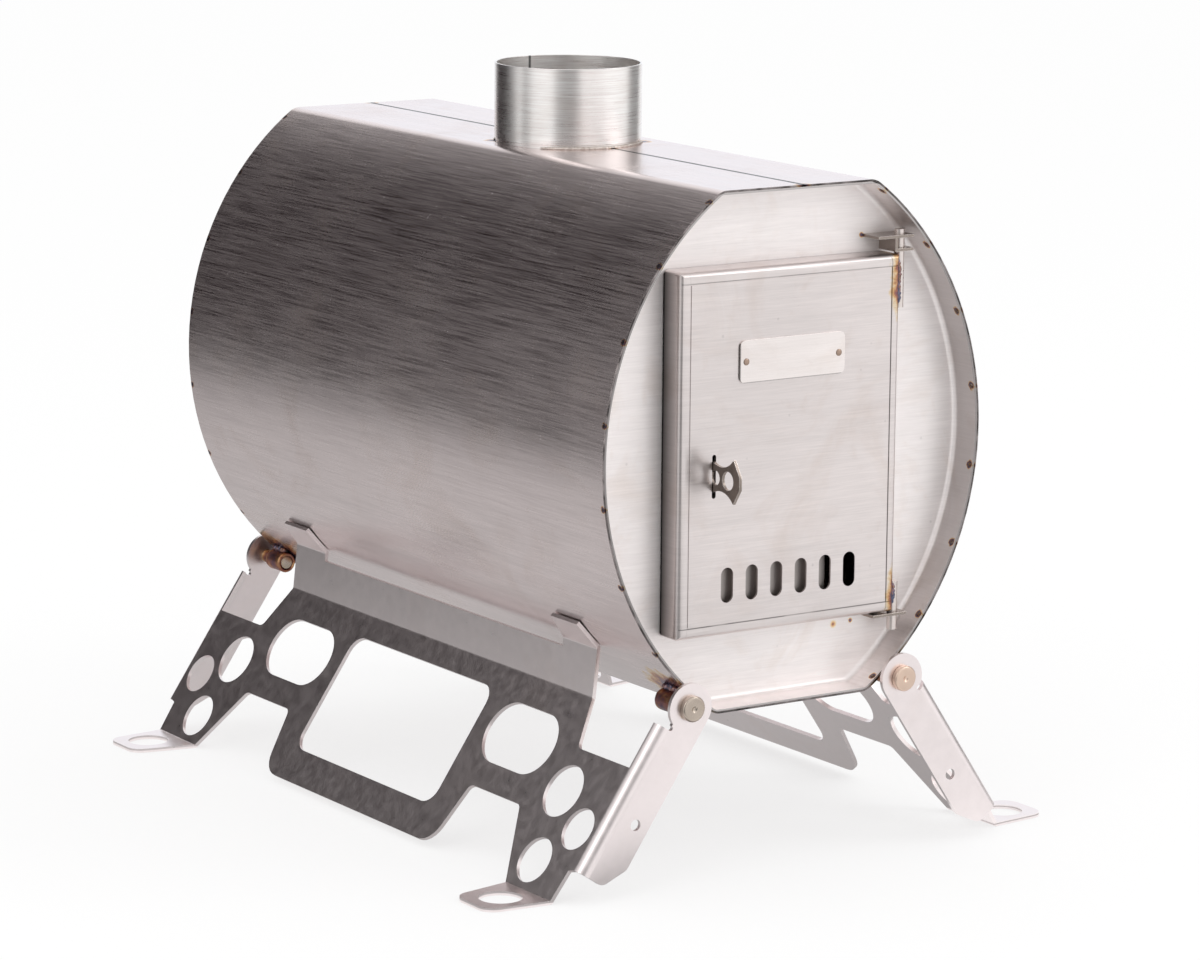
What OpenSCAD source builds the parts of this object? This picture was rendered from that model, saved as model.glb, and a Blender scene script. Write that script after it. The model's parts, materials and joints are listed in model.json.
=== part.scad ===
// Folding wood stove for a tent.
// Millimetres. Z is up, the floor is at Z = 0, the door faces -Y and the shell runs along Y.

/* [Firebox] */
// Length of the shell
shell_length = 400; // [340:10:460]
// Width across the two curved sides
body_width = 220; // [200:2:240]
// Height between the top and the bottom flat
body_height = 250; // [230:2:270]
// Width of the top and the bottom flat
flat_width = 89.7; // [84:0.1:96]
// Clear height below the bottom flat
ground_gap = 82; // [80:1:92]
// Sheet of the shell
shell_sheet = 1; // [0.8:0.1:1.4]
// Sheet of the two end pans
end_sheet = 1; // [0.8:0.1:1.4]
// Depth from the shell's end to the face of an end pan
end_recess = 16; // [14:0.5:22]

/* [Flue] */
// Outside diameter of the flue collar
flue_diameter = 74.4; // [66:0.2:80]
// Height of the collar above the top flat
flue_height = 40; // [25:1:60]
// Wall of the collar
flue_wall = 1; // [0.8:0.1:1.5]
// Place of the collar along the shell, from the middle
flue_place = 0; // [-30:1:30]

/* [Door] */
// Distance from the upper hinge lug to the inside of the front pan
lug_side_gap = 3.5; // [2:0.1:6]
// Distance from the flats to the top and bottom edges of the door
door_end_gap = 37.25; // [35:0.25:42]
// Sideways place of the door's middle
door_middle = -2.3; // [-4:0.1:2]
// Depth of the door tray
door_depth = 14.4; // [13.4:0.2:14.6]
// Sheet of the door tray
door_sheet = 1; // [0.8:0.1:1.2]
// How far the door covers the end pan round the opening
door_cover = 10; // [9:0.5:12]
// Diameter of the door's hinge pins
hinge_pin_diameter = 5; // [4:0.2:5.4]

/* [Air slots] */
// Distance from one slot to the next
slot_pitch = 14.3; // [13:0.1:18]
// Least distance from the door's side edges to the middle of a slot
slot_side_gap = 28.4; // [26:0.1:32]
// Width of a slot
slot_width = 7; // [5:0.5:8]
// Height of a slot
slot_height = 17; // [12:1:20]
// Height of the slots' middle above the door's lower edge
slot_rise = 24.5; // [22:0.5:28]
// Distance that the damper stands back from the fully closed place
damper_opening = 16; // [8:0.5:18]

/* [Latch] */
// Sheet of the latch plate
latch_sheet = 1.5; // [1:0.1:2]
// Distance from the door's left edge to the latch
latch_inset = 20.1; // [18:0.1:24]
// Reach of the handle in front of the door
latch_reach = 21.8; // [18:0.2:26]

/* [Legs] */
// Sheet of the folded legs
leg_sheet = 2; // [1.5:0.1:2.2]
// Slope of the leg panels from level
leg_slope = 55.8; // [54:0.2:58]
// Distance from the pivot to the outer face of the panel
leg_offset = 10.8; // [10.4:0.1:12]
// Diameter of the pivot pins
pivot_diameter = 7; // [5:0.5:8]
// Distance along the side arc from the bottom flat to the pivots
pivot_corner_gap = 16.5; // [15:0.1:20]
// Diameter of the peg hole in each foot
peg_hole_diameter = 21; // [12:1:23]

/* [Hidden] */
$fn = 64;

// Degrees in a half turn
half_turn = 180;
// Steps in each rounded corner of a sheet outline
corner_steps = 6;
// Overrun of every cut
over = 5;
// Gap between pieces that touch on the real stove
touch = 0.02;
// Gap between moving sheets that lie against each other
sheet_gap = 0.3;
// Radial clearance of a pin that turns
running = 0.05;

half_length = shell_length / 2;
half_width = body_width / 2;
half_height = body_height / 2;
half_flat = flat_width / 2;

// The side arcs pass through the widest point and the edge of the flats
arc_offset = (pow(half_flat, 2) + pow(half_height, 2) - pow(half_width, 2)) / (2 * (half_width - half_flat));
side_radius = half_width + arc_offset;
arc_angle = asin(half_height / side_radius);
pan_sheets = shell_sheet + touch + end_sheet;
body_middle = ground_gap + body_height / 2;
body_top = ground_gap + body_height;
pan_face = half_length - end_recess;

// Lap seam of the shell along its top
seam_place = 2;
seam_width = 0.6;
seam_depth = 0.4;

// Collar: its foot is turned down to half the wall and passes through the top sheet
collar_tail = 4;
collar_foot = 2;
collar_slit = 0.5;
collar_bead = 1.6;
collar_bead_angle = 110;
collar_gap = 0.3;
flue_radius = flue_diameter / 2;
collar_foot_radius = flue_radius - flue_wall / 2;

// Tack welds between the shell and the pans' flanges, near each end
tack_count = 8;
tack_radius = 1.5;
tack_height = 0.5;
tack_depth = 2.2;
tack_end_gap = 8;
tack_angle = arc_angle - arc_degrees(tack_end_gap, side_radius);

// Door and the opening behind it
door_rim_gap = 1;
door_face = half_length - door_rim_gap;
door_height = body_height - 2 * door_end_gap;
door_bottom = body_middle - door_height / 2;
door_top = body_middle + door_height / 2;
door_corner = 2.5;
door_bend = 4;
opening_corner = 6;
score_inset = 5.6;
score_width = 0.6;
score_depth = 0.3;

// Hinge pins and the lugs that carry them
hinge_pin_radius = hinge_pin_diameter / 2;
hinge_back = 6;
hinge_y = -(door_face - hinge_back);
upper_pin_length = 38;
lower_pin_length = 24;
pin_past_lug = 2.4;
lug_sheet = 1.5;
lug_margin = 5.5;
lug_front = 4;
lug_clearance = 0.9;
upper_leaf_rise = 5;
upper_leaf_reach = 15.5;
lower_leaf_reach = 14.5;
web_inset = 5.5;
lug_top = door_height / 2 + lug_clearance + upper_leaf_rise + 2 * lug_sheet;
hinge_x = section_half(lug_top) - pan_sheets - lug_side_gap - lug_margin;
door_right = hinge_x - hinge_pin_radius - running;
door_width = 2 * (door_right - door_middle);
door_left = door_middle - door_width / 2;
hinge_bead = 1.2;
hinge_bead_length = 22;
lower_bead_length = 12;

// Rods and their fillet welds: place of a bead beside the rod, as a share of the rod's radius
bead_side_share = 0.86;

// Name plate, bare
plate_width = 61;
plate_height = 20.4;
plate_sheet = 0.8;
plate_corner = 3;
plate_rise = 43.2;
rivet_radius = 1;
rivet_head_radius = 1.7;
rivet_head = 0.5;
rivet_inset = 3.6;

// Air damper and its guides
damper_sheet = 0.8;
damper_height = 24;
damper_margin = 1;
damper_back = 3;
guide_width = 4;
guide_lip = 1;
guide_groove = 2.6;
guide_left_inset = 4.2;
guide_right_inset = 17.2;
guide_play = 0.3;

// Latch: pivot behind the door's face, waist, horns, arm and barb
latch_pivot_back = 8;
latch_pin_radius = 1.5;
latch_pin_over = 1;
latch_neck = 7.5;
latch_horn = 10.6;
latch_edge = 3.1;
latch_bevel = 5;
waist_radius = 13.3;
waist_half = 5.8;
waist_place = 14.5;
neck_back = 1.8;
arm_half = 4.5;
arm_length = 15;
barb_length = 3.5;
barb_height = 3;
recess_length = 6;
handle_hole_radius = 4.5;
handle_hole_place = 20.3;
neck_hole_radius = 3.5;
neck_hole_place = 10.2;
latch_slot_width = 2.2;
latch_slot_height = 21;
latch_drop = 10.2;
latch_x = door_left + latch_inset;
latch_pivot_y = -(door_face - latch_pivot_back);
latch_z = body_middle - latch_drop;
bracket_sheet = 1;
bracket_gap = 0.5;
bracket_height = 26;
bracket_foot = 3;
ear_height = 12;
ear_past_pin = 3;
keeper_sheet = 1.5;
keeper_height = 11;
keeper_past_latch = 5;
keeper_weld_land = 8;

// Bushes, pins and ears of the leg pivots
bush_radius = 5.5;
bush_length = 14;
bush_inset = 5;
bush_seat = 0.05;
bush_bead = 1.9;
pivot_radius = pivot_diameter / 2;
pin_head_radius = 6.3;
pin_head = 3;
pin_head_gap = 0.2;
pivot_reach = side_radius + bush_radius + bush_seat;
pivot_angle = arc_angle - arc_degrees(pivot_corner_gap, side_radius);
pivot_x = pivot_reach * cos(pivot_angle) - arc_offset;
pivot_z = body_middle - pivot_reach * sin(pivot_angle);

// Leg sheet, in its own plane: s runs down the slope from the pivot, u along the stove.
// The outer faces of the end plates lie at left_ear and right_ear from the stove's middle,
// and the insets of the cut-outs are taken from ear_ref, so that both legs share them.
ear_ref = half_length;
ear_gap = 2.2;
left_ear = half_length + ear_gap + leg_sheet;
right_ear = left_ear + sheet_gap + leg_sheet;
ear_radius = 12;
fold_radius = 6;
left_fold_start = 14.5;
right_fold_start = 12.4;
relief_radius = 1.2;
plate_corner_radius = 5;
plate_cut_run = 12.6;
plate_cut_rise = 8;
lock_hole_radius = 2.75;
lock_hole_s = 60.9;
lock_hole_n = 4.1;
bend_s = 13.7;
notch_s = 38.8;
arch_s = 74.6;
bar_lift = 3.2;
plate_lift = 18.6;
lower_hole_lift = 16;
leg_end_s = (pivot_z + (leg_offset - leg_sheet) * cos(leg_slope)) / sin(leg_slope);
bar_end_s = leg_end_s - bar_lift;
plate_end = leg_end_s - plate_lift;
flange_inset = 55.2;
notch_inset = 46;
toe_run = 1;
toe_top_inset = 5.3;
arch_outer_inset = 65.7;
arch_inner_inset = 110.6;
bar_corner_inset = 118.2;
window_inset = 132.7;
small_corner = 4;
bar_corner = 13;
window_half = ear_ref - window_inset;
window_top_s = 25.6;
window_lift = 20.8;
window_bottom_s = leg_end_s - window_lift;
window_corner = 9;
grip_hole_inset = 92.4;
grip_hole_s = 44.6;
grip_hole_half = 12.9;
grip_hole_radius = 16.4;
upper_hole_inset = 39.7;
upper_hole_s = 60.7;
upper_hole_radius = 13.6;
middle_hole_inset = 14.5;
middle_hole_s = 74.9;
middle_hole_radius = 10.8;
lower_hole_inset = 33.5;
lower_hole_s = leg_end_s - lower_hole_lift;
lower_hole_radius = 11.75;

// Upper flange and its two tabs: lengths and turns from the panel
flange_rise = 19.8;
flange_angle = 28;
tab_rise = 15.9;
tab_angle = 72.3;
tab_width = 29.8;
tab_taper = 3.5;

// The middle of the side arc in s and n, and the flange's length that lays the tabs on the arc
arc_s = -pivot_reach * cos(pivot_angle - leg_slope);
arc_n = pivot_reach * sin(pivot_angle - leg_slope);
flange_full = ((bend_s - arc_s) * sin(tab_angle) + (leg_offset - arc_n) * cos(tab_angle)
               - (side_radius + sheet_gap + leg_sheet)) / sin(tab_angle - flange_angle);

// Feet
foot_length = 34;
foot_back_inset = 45;
foot_front_inset = 6.6;
foot_tip_back_inset = 38.5;
foot_tip_front_inset = 10;
foot_tip_corner = 8;
peg_hole_place = 24;
peg_hole_reach = 17.6;

// Fire grate: a slotted plate on two turned-down sides
grate_overhang = 5.15;
grate_width = flat_width + 2 * grate_overhang;
grate_end_gap = 14;
grate_length = 2 * (pan_face - grate_end_gap);
grate_sheet = 1.5;
grate_height = 33;
grate_slot_length = 70;
grate_slot_width = 8;
grate_slot_pitch = 22;
grate_slot_end_gap = 24;
grate_slot_count = 1 + floor((grate_length - 2 * grate_slot_end_gap) / grate_slot_pitch);

// Flame baffle: a channel hung from the top below the flue
baffle_side_gap = 3.85;
baffle_width = flat_width - 2 * baffle_side_gap;
baffle_length = 150;
baffle_drop = 25;
baffle_sheet = 1;

// The origin lies under the middle of the stove's overall length
front_reach = door_face + latch_reach;
rear_reach = right_ear + pin_head_gap + pin_head;
centring = (front_reach - rear_reach) / 2;

// Half width of the body at a height above or below its middle
function section_half(rise) = sqrt(pow(side_radius, 2) - pow(rise, 2)) - arc_offset;

// Outline helpers

function unit(v) = v / norm(v);
function flat_point(p) = [p[0], p[1]];
function arc_degrees(length, radius) = length / (PI * radius) * half_turn;
function turned(v, a) = [v[0] * cos(a) - v[1] * sin(a), v[0] * sin(a) + v[1] * cos(a)];

// Points of one corner at b, between a and c, rounded to radius b[2]
function corner(a, b, c) =
    b[2] == 0 ? [flat_point(b)] :
    let (to_a = unit(flat_point(a) - flat_point(b)),
         to_c = unit(flat_point(c) - flat_point(b)),
         half = acos(to_a * to_c) / 2,
         centre = flat_point(b) + unit(to_a + to_c) * b[2] / sin(half),
         start = flat_point(b) + to_a * b[2] / tan(half) - centre,
         side = to_a[0] * to_c[1] - to_a[1] * to_c[0] > 0 ? -1 : 1,
         sweep = side * (half_turn - 2 * half))
    [for (i = [0 : corner_steps]) centre + turned(start, sweep * i / corner_steps)];

// Outline of points [x, y, radius]
function rounded(points) =
    let (n = len(points))
    [for (i = [0 : n - 1]) each corner(points[(i + n - 1) % n], points[i], points[(i + 1) % n])];

// The same outline with its mirror image in y joined on
function both_sides(half) =
    concat(half, [for (i = [len(half) - 1 : -1 : 0]) [half[i][0], -half[i][1], half[i][2]]]);

function box_points(w, h, r) = [[-w / 2, -h / 2, r], [w / 2, -h / 2, r], [w / 2, h / 2, r], [-w / 2, h / 2, r]];

module box_outline(w, h, r) {
    polygon(rounded(box_points(w, h, r)));
}

module slot_outline(w, h) {
    square([w, h - w], center = true);
    for (side = [-1, 1]) {
        translate([0, side * (h - w) / 2]) circle(d = w);
    }
}

// Shared placing

module centred() {
    translate([0, centring, 0]) children();
}

// Extrudes a front view, drawn in X and Z, between two places along Y
module along_y(from, to) {
    translate([0, to, 0]) rotate([90, 0, 0]) linear_extrude(to - from) children();
}

// Extrudes a side view, drawn in Y and Z, between two places along X
module along_x(from, to) {
    translate([from, 0, 0]) rotate([90, 0, 90]) linear_extrude(to - from) children();
}

module both_ends() {
    children();
    mirror([0, 1, 0]) children();
}

module rod_y(radius, from, to) {
    along_y(from, to) circle(radius);
}

// Two beads in the corners between a rod and the flat that lies to its -X side
module fillet_pair(rod_radius, seat, bead, length) {
    wall = rod_radius + seat - touch;
    for (side = [-1, 1]) {
        linear_extrude(length) difference() {
            translate([-rod_radius, side * rod_radius * bead_side_share]) circle(bead);
            circle(rod_radius + touch);
            translate([-wall - 2 * bead, -rod_radius - 2 * bead]) square([2 * bead, 2 * rod_radius + 4 * bead]);
        }
    }
}

// Firebox

// Cross section of the body, set in by a distance
module section(inset) {
    translate([0, body_middle]) intersection() {
        translate([-arc_offset, 0]) circle(side_radius - inset, $fn = 128);
        translate([arc_offset, 0]) circle(side_radius - inset, $fn = 128);
        square([body_width + over, body_height - 2 * inset], center = true);
    }
}

module shell() {
    color("silver") centred() difference() {
        along_y(-half_length, half_length) section(0);
        along_y(-half_length - over, half_length + over) section(shell_sheet);
        translate([0, flue_place, body_top - shell_sheet - over])
            cylinder(h = shell_sheet + 2 * over, r = collar_foot_radius + collar_gap);
        translate([seam_place, -half_length - over, body_top - seam_depth])
            cube([seam_width, shell_length + 2 * over, over]);
    }
}

module end_pan_body() {
    inset = shell_sheet + touch;
    difference() {
        along_y(-half_length, -pan_face + end_sheet) section(inset);
        along_y(-half_length - over, -pan_face) section(inset + end_sheet);
    }
}

module front_pan() {
    opening_width = door_width - 2 * door_cover;
    opening_height = door_height - 2 * door_cover;
    color("gainsboro") centred() difference() {
        end_pan_body();
        along_y(-pan_face - over, -pan_face + end_sheet + over)
            translate([door_middle, body_middle]) box_outline(opening_width, opening_height, opening_corner);
    }
}

module rear_pan() {
    color("gainsboro") centred() mirror([0, 1, 0]) end_pan_body();
}

module flue_collar() {
    color("silver") centred() translate([0, flue_place, body_top - collar_tail]) difference() {
        union() {
            cylinder(h = collar_tail + collar_foot + touch, r = collar_foot_radius);
            translate([0, 0, collar_tail + collar_foot])
                cylinder(h = flue_height - collar_foot, r = flue_radius);
        }
        translate([0, 0, -over]) cylinder(h = collar_tail + flue_height + 2 * over, r = flue_radius - flue_wall);
        translate([-collar_slit / 2, 0, -over])
            cube([collar_slit, flue_radius + over, collar_tail + flue_height + 2 * over]);
    }
}

module collar_welds() {
    color("dimgray") centred() translate([0, flue_place, body_top + touch]) for (end = [-1, 1]) {
        rotate([0, 0, end * half_turn / 2 - collar_bead_angle / 2]) rotate_extrude(angle = collar_bead_angle)
            translate([collar_foot_radius + touch, 0])
                polygon([[0, 0], [collar_bead, 0], [0, collar_bead]]);
    }
}

// Round spots on the inner face of the front pan's flange
module end_tacks() {
    flange_radius = side_radius - pan_sheets;
    for (side = [0, 1], i = [0 : tack_count - 1]) {
        mirror([side, 0, 0]) translate([-arc_offset, -half_length + tack_depth, body_middle])
            rotate([0, -tack_angle * (2 * i / (tack_count - 1) - 1), 0])
                translate([flange_radius - touch - tack_height, 0, 0]) rotate([0, 90, 0])
                    cylinder(h = tack_height, r = tack_radius);
    }
}

module front_tacks() {
    color("sienna") centred() end_tacks();
}

module rear_tacks() {
    color("sienna") centred() mirror([0, 1, 0]) end_tacks();
}

module pivot_bushes() {
    both_ends() translate([pivot_x, 0, pivot_z]) difference() {
        rod_y(bush_radius, half_length - bush_inset - bush_length, half_length - bush_inset);
        rod_y(pivot_radius + touch, half_length - bush_inset - bush_length - over, half_length + over);
    }
}

module right_pivot_bushes() {
    color("slategray") centred() pivot_bushes();
}

module left_pivot_bushes() {
    color("slategray") centred() mirror([1, 0, 0]) pivot_bushes();
}

// The pins' welds lie where a bush meets the curved side
module bush_welds() {
    inset = 1;
    color("saddlebrown") centred() for (side = [0, 1], end = [0, 1]) {
        mirror([side, 0, 0]) mirror([0, end, 0]) translate([pivot_x, half_length - bush_inset - inset, pivot_z])
            rotate([90, 0, 0]) rotate([0, 0, -pivot_angle])
                fillet_pair(bush_radius, bush_seat, bush_bead, bush_length - 2 * inset);
    }
}

module pivot_pins(ear) {
    both_ends() translate([pivot_x, 0, pivot_z]) {
        rod_y(pivot_radius, half_length - bush_inset - bush_length, ear + pin_head_gap);
        rod_y(pin_head_radius, ear + pin_head_gap, ear + pin_head_gap + pin_head);
    }
}

module left_pivot_pins() {
    color("rosybrown") centred() mirror([1, 0, 0]) pivot_pins(left_ear);
}

module right_pivot_pins() {
    color("rosybrown") centred() pivot_pins(right_ear);
}

// A level leaf that stands forward from the front pan and carries a hinge pin
module lug_leaf(left, z) {
    front = hinge_y - hinge_pin_radius - lug_front / 2;
    difference() {
        translate([left, front, z]) cube([hinge_x + lug_margin - left, -pan_face - touch - front, lug_sheet]);
        translate([hinge_x, hinge_y, z - over]) cylinder(h = lug_sheet + 2 * over, r = hinge_pin_radius + running);
    }
}

module upper_hinge_lug() {
    lower = door_top + lug_clearance;
    front = hinge_y - hinge_pin_radius - lug_front / 2;
    web_x = hinge_x - web_inset;
    color("lightgray") centred() {
        lug_leaf(web_x, lower);
        lug_leaf(hinge_x - upper_leaf_reach, lower + upper_leaf_rise + lug_sheet);
        translate([web_x, front, lower])
            cube([lug_sheet, -pan_face - touch - front, upper_leaf_rise + 2 * lug_sheet]);
    }
}

module lower_hinge_lug() {
    color("lightgray") centred()
        lug_leaf(hinge_x - lower_leaf_reach, door_bottom - lug_clearance - lug_sheet);
}

module latch_keeper() {
    barb_top = latch_z + arm_half;
    left = door_left + door_cover - keeper_weld_land;
    color("lightgray") centred() translate([left, -pan_face + end_sheet + touch, barb_top + sheet_gap])
        cube([latch_x + keeper_past_latch - left, keeper_sheet, keeper_height]);
}

// Height at which the shell's inner face lies at a distance from the middle
function inner_floor(x) = body_middle - sqrt(pow(side_radius - shell_sheet, 2) - pow(x + arc_offset, 2));

module fire_grate() {
    top = ground_gap + grate_height;
    foot = inner_floor(grate_width / 2) + sheet_gap / 2;
    color("gray") centred() difference() {
        translate([-grate_width / 2, -grate_length / 2, foot]) cube([grate_width, grate_length, top - foot]);
        translate([-grate_width / 2 + grate_sheet, -grate_length / 2 - over, foot - over])
            cube([grate_width - 2 * grate_sheet, grate_length + 2 * over, top - foot - grate_sheet + over]);
        for (i = [0 : grate_slot_count - 1]) {
            translate([0, (i - (grate_slot_count - 1) / 2) * grate_slot_pitch, top - grate_sheet - over])
                linear_extrude(grate_sheet + 2 * over)
                    rotate([0, 0, 90]) slot_outline(grate_slot_width, grate_slot_length);
        }
    }
}

module flame_baffle() {
    top = body_top - shell_sheet - touch;
    color("gray") centred() translate([0, flue_place, 0]) difference() {
        translate([-baffle_width / 2, -baffle_length / 2, top - baffle_drop])
            cube([baffle_width, baffle_length, baffle_drop]);
        translate([-baffle_width / 2 + baffle_sheet, -baffle_length / 2 - over, top - baffle_drop + baffle_sheet])
            cube([baffle_width - 2 * baffle_sheet, baffle_length + 2 * over, baffle_drop + over]);
    }
}

// Door

slot_count = 1 + floor((door_width - 2 * slot_side_gap) / slot_pitch);
function slot_x(i) = door_middle + (i - (slot_count - 1) / 2) * slot_pitch;

module door_cuts() {
    for (i = [0 : slot_count - 1]) {
        translate([slot_x(i), door_bottom + slot_rise]) slot_outline(slot_width, slot_height);
    }
    translate([latch_x, latch_z]) slot_outline(latch_slot_width, latch_slot_height);
    for (side = [-1, 1]) {
        translate([door_middle + side * (plate_width / 2 - rivet_inset), body_middle + plate_rise])
            circle(rivet_radius + touch);
    }
}

module score_lines() {
    w = door_width - 2 * score_inset;
    h = door_height - 2 * score_inset;
    translate([door_middle, body_middle]) difference() {
        square([w, h], center = true);
        square([w - 2 * score_width, h - 2 * score_width], center = true);
    }
}

// Plan of a tray with its two front corners bent round, front edge on the X axis
module bent_plan(width, depth, bend) {
    translate([-width / 2 + bend, 0]) square([width - 2 * bend, depth]);
    translate([-width / 2, bend]) square([width, depth - bend]);
    for (side = [-1, 1]) {
        translate([side * (width / 2 - bend), bend]) circle(bend);
    }
}

// Solid tray with rounded front edges, set in on all sides by a distance
module tray(inset, depth) {
    width = door_width - 2 * inset;
    height = door_height - 2 * inset;
    bend = door_bend - inset;
    translate([door_middle, -door_face + inset, body_middle]) intersection() {
        along_y(0, depth) box_outline(width, height, door_corner - inset);
        translate([0, 0, -height / 2]) linear_extrude(height) bent_plan(width, depth, bend);
        along_x(-width / 2, width / 2) mirror([1, -1, 0]) bent_plan(height, depth, bend);
    }
}

module door_panel() {
    color("whitesmoke") centred() difference() {
        tray(0, door_depth);
        tray(door_sheet, door_depth + over);
        along_y(-door_face - over, -door_face + door_sheet + over) door_cuts();
        along_y(-door_face - over, -door_face + score_depth) score_lines();
    }
}

module upper_hinge_pin() {
    top = door_top + lug_clearance + upper_leaf_rise + 2 * lug_sheet + pin_past_lug;
    color("rosybrown") centred() translate([hinge_x, hinge_y, top - upper_pin_length])
        cylinder(h = upper_pin_length, r = hinge_pin_radius);
}

module lower_hinge_pin() {
    bottom = door_bottom - lug_clearance - lug_sheet - pin_past_lug - upper_leaf_rise;
    color("rosybrown") centred() translate([hinge_x, hinge_y, bottom])
        cylinder(h = lower_pin_length, r = hinge_pin_radius);
}

module hinge_pin_welds() {
    color("saddlebrown") centred() {
        translate([hinge_x, hinge_y, door_top - door_corner - hinge_bead_length])
            fillet_pair(hinge_pin_radius, running, hinge_bead, hinge_bead_length);
        translate([hinge_x, hinge_y, door_bottom + door_corner])
            fillet_pair(hinge_pin_radius, running, hinge_bead, lower_bead_length);
    }
}

module name_plate() {
    color("gainsboro") centred()
        along_y(-door_face - touch - plate_sheet, -door_face - touch)
            translate([door_middle, body_middle + plate_rise]) difference() {
                box_outline(plate_width, plate_height, plate_corner);
                for (side = [-1, 1]) {
                    translate([side * (plate_width / 2 - rivet_inset), 0]) circle(rivet_radius + touch);
                }
            }
}

module plate_rivets() {
    front = door_face + touch + plate_sheet + touch;
    back = door_face - door_sheet - touch;
    color("darkgray") centred() for (side = [-1, 1]) {
        translate([door_middle + side * (plate_width / 2 - rivet_inset), 0, body_middle + plate_rise]) {
            rod_y(rivet_head_radius, -front - rivet_head, -front);
            rod_y(rivet_radius, -front, -back);
            rod_y(rivet_head_radius, -back, -back + rivet_head);
        }
    }
}

damper_y = -door_face + door_sheet + damper_back;
damper_z = door_bottom + slot_rise;
damper_width = (slot_count - 1) * slot_pitch + slot_width + 2 * damper_margin;
damper_left = door_middle - damper_width / 2 - damper_opening;

module air_damper() {
    color("gray") centred() along_y(damper_y, damper_y + damper_sheet)
        translate([damper_left, damper_z - damper_height / 2]) square([damper_width, damper_height]);
}

// Section of the upper guide in Y and Z: a bar with a groove that the damper's edge slides in
module guide_section() {
    back = -door_face + door_sheet + touch;
    depth = damper_back + damper_sheet + guide_play + guide_lip;
    groove_z = damper_height / 2 + guide_play;
    difference() {
        translate([back, groove_z - guide_groove]) square([depth, guide_width]);
        translate([damper_y - guide_play, groove_z - guide_groove - over])
            square([damper_sheet + 2 * guide_play, guide_groove + over]);
    }
}

module damper_guide() {
    along_x(door_left + guide_left_inset, door_right - guide_right_inset) guide_section();
}

module upper_damper_guide() {
    color("lightgray") centred() translate([0, 0, damper_z]) damper_guide();
}

module lower_damper_guide() {
    color("lightgray") centred() translate([0, 0, damper_z]) mirror([0, 0, 1]) damper_guide();
}

module latch_bracket() {
    back = -door_face + door_sheet + touch;
    ear_x = latch_sheet / 2 + bracket_gap;
    width = 2 * (ear_x + bracket_sheet + bracket_foot);
    color("lightgray") centred() translate([latch_x, 0, latch_z]) difference() {
        union() {
            translate([-width / 2, back, -bracket_height / 2]) cube([width, bracket_sheet, bracket_height]);
            for (side = [-1, 1]) {
                translate([side * (ear_x + bracket_sheet / 2) - bracket_sheet / 2, back, -ear_height / 2])
                    cube([bracket_sheet, latch_pivot_y + ear_past_pin - back, ear_height]);
            }
        }
        along_y(back - over, back + bracket_sheet + over) slot_outline(latch_slot_width, latch_slot_height);
        translate([-width / 2 - over, latch_pivot_y, 0]) rotate([0, 90, 0])
            cylinder(h = width + 2 * over, r = latch_pin_radius + touch);
    }
}

module latch_pin() {
    reach = latch_sheet / 2 + bracket_gap + bracket_sheet + latch_pin_over;
    color("rosybrown") centred() translate([latch_x - reach, latch_pivot_y, latch_z]) rotate([0, 90, 0])
        cylinder(h = 2 * reach, r = latch_pin_radius);
}

// Axe-shaped plate that rocks on the latch pin, drawn in Y and Z from the pin
module latch_outline() {
    tip = -latch_pivot_back - latch_reach;
    neck_end = -latch_pivot_back + neck_back;
    recess = arm_length - barb_length - recess_length;
    difference() {
        polygon([[tip, latch_edge], [tip + latch_bevel, latch_horn], [-latch_pivot_back, latch_neck],
                 [neck_end, latch_neck], [neck_end, arm_half], [recess, arm_half],
                 [recess, arm_half - barb_height], [recess + recess_length, arm_half - barb_height],
                 [recess + recess_length, arm_half], [arm_length, arm_half], [arm_length, -arm_half],
                 [neck_end, -arm_half], [neck_end, -latch_neck], [-latch_pivot_back, -latch_neck],
                 [tip + latch_bevel, -latch_horn], [tip, -latch_edge]]);
        for (side = [-1, 1]) {
            translate([-waist_place, side * (waist_half + waist_radius)]) circle(waist_radius);
        }
        translate([-handle_hole_place, 0]) circle(handle_hole_radius);
        translate([-neck_hole_place, 0]) circle(neck_hole_radius);
        circle(latch_pin_radius + running);
    }
}

module latch_handle() {
    color("dimgray") centred() translate([latch_x - latch_sheet / 2, latch_pivot_y, latch_z])
        along_x(0, latch_sheet) latch_outline();
}

// Legs

// Half outline of the sloping panel as [s, u, radius], for an end plate at a distance from the middle
function panel_half(ear) = [
    [bend_s, ear_ref - flange_inset, 0],
    [notch_s, ear_ref - notch_inset, small_corner],
    [notch_s, ear - fold_radius, 0],
    [plate_end, ear - fold_radius, 0],
    [plate_end + toe_run, ear_ref - toe_top_inset, 0],
    [leg_end_s, ear_ref - foot_front_inset, 0],
    [leg_end_s, ear_ref - foot_back_inset, 0],
    [arch_s, ear_ref - arch_outer_inset, small_corner],
    [arch_s, ear_ref - arch_inner_inset, small_corner],
    [bar_end_s, ear_ref - bar_corner_inset, bar_corner]];

module panel_outline(ear) {
    difference() {
        polygon(rounded(both_sides(panel_half(ear))));
        translate([(window_top_s + window_bottom_s) / 2, 0])
            box_outline(window_bottom_s - window_top_s, 2 * window_half, window_corner);
        for (side = [-1, 1]) {
            translate([grip_hole_s, side * (ear_ref - grip_hole_inset)])
                slot_outline(2 * grip_hole_radius, 2 * (grip_hole_radius + grip_hole_half));
            translate([upper_hole_s, side * (ear_ref - upper_hole_inset)]) circle(upper_hole_radius);
            translate([middle_hole_s, side * (ear_ref - middle_hole_inset)]) circle(middle_hole_radius);
            translate([lower_hole_s, side * (ear_ref - lower_hole_inset)]) circle(lower_hole_radius);
        }
    }
}

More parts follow.
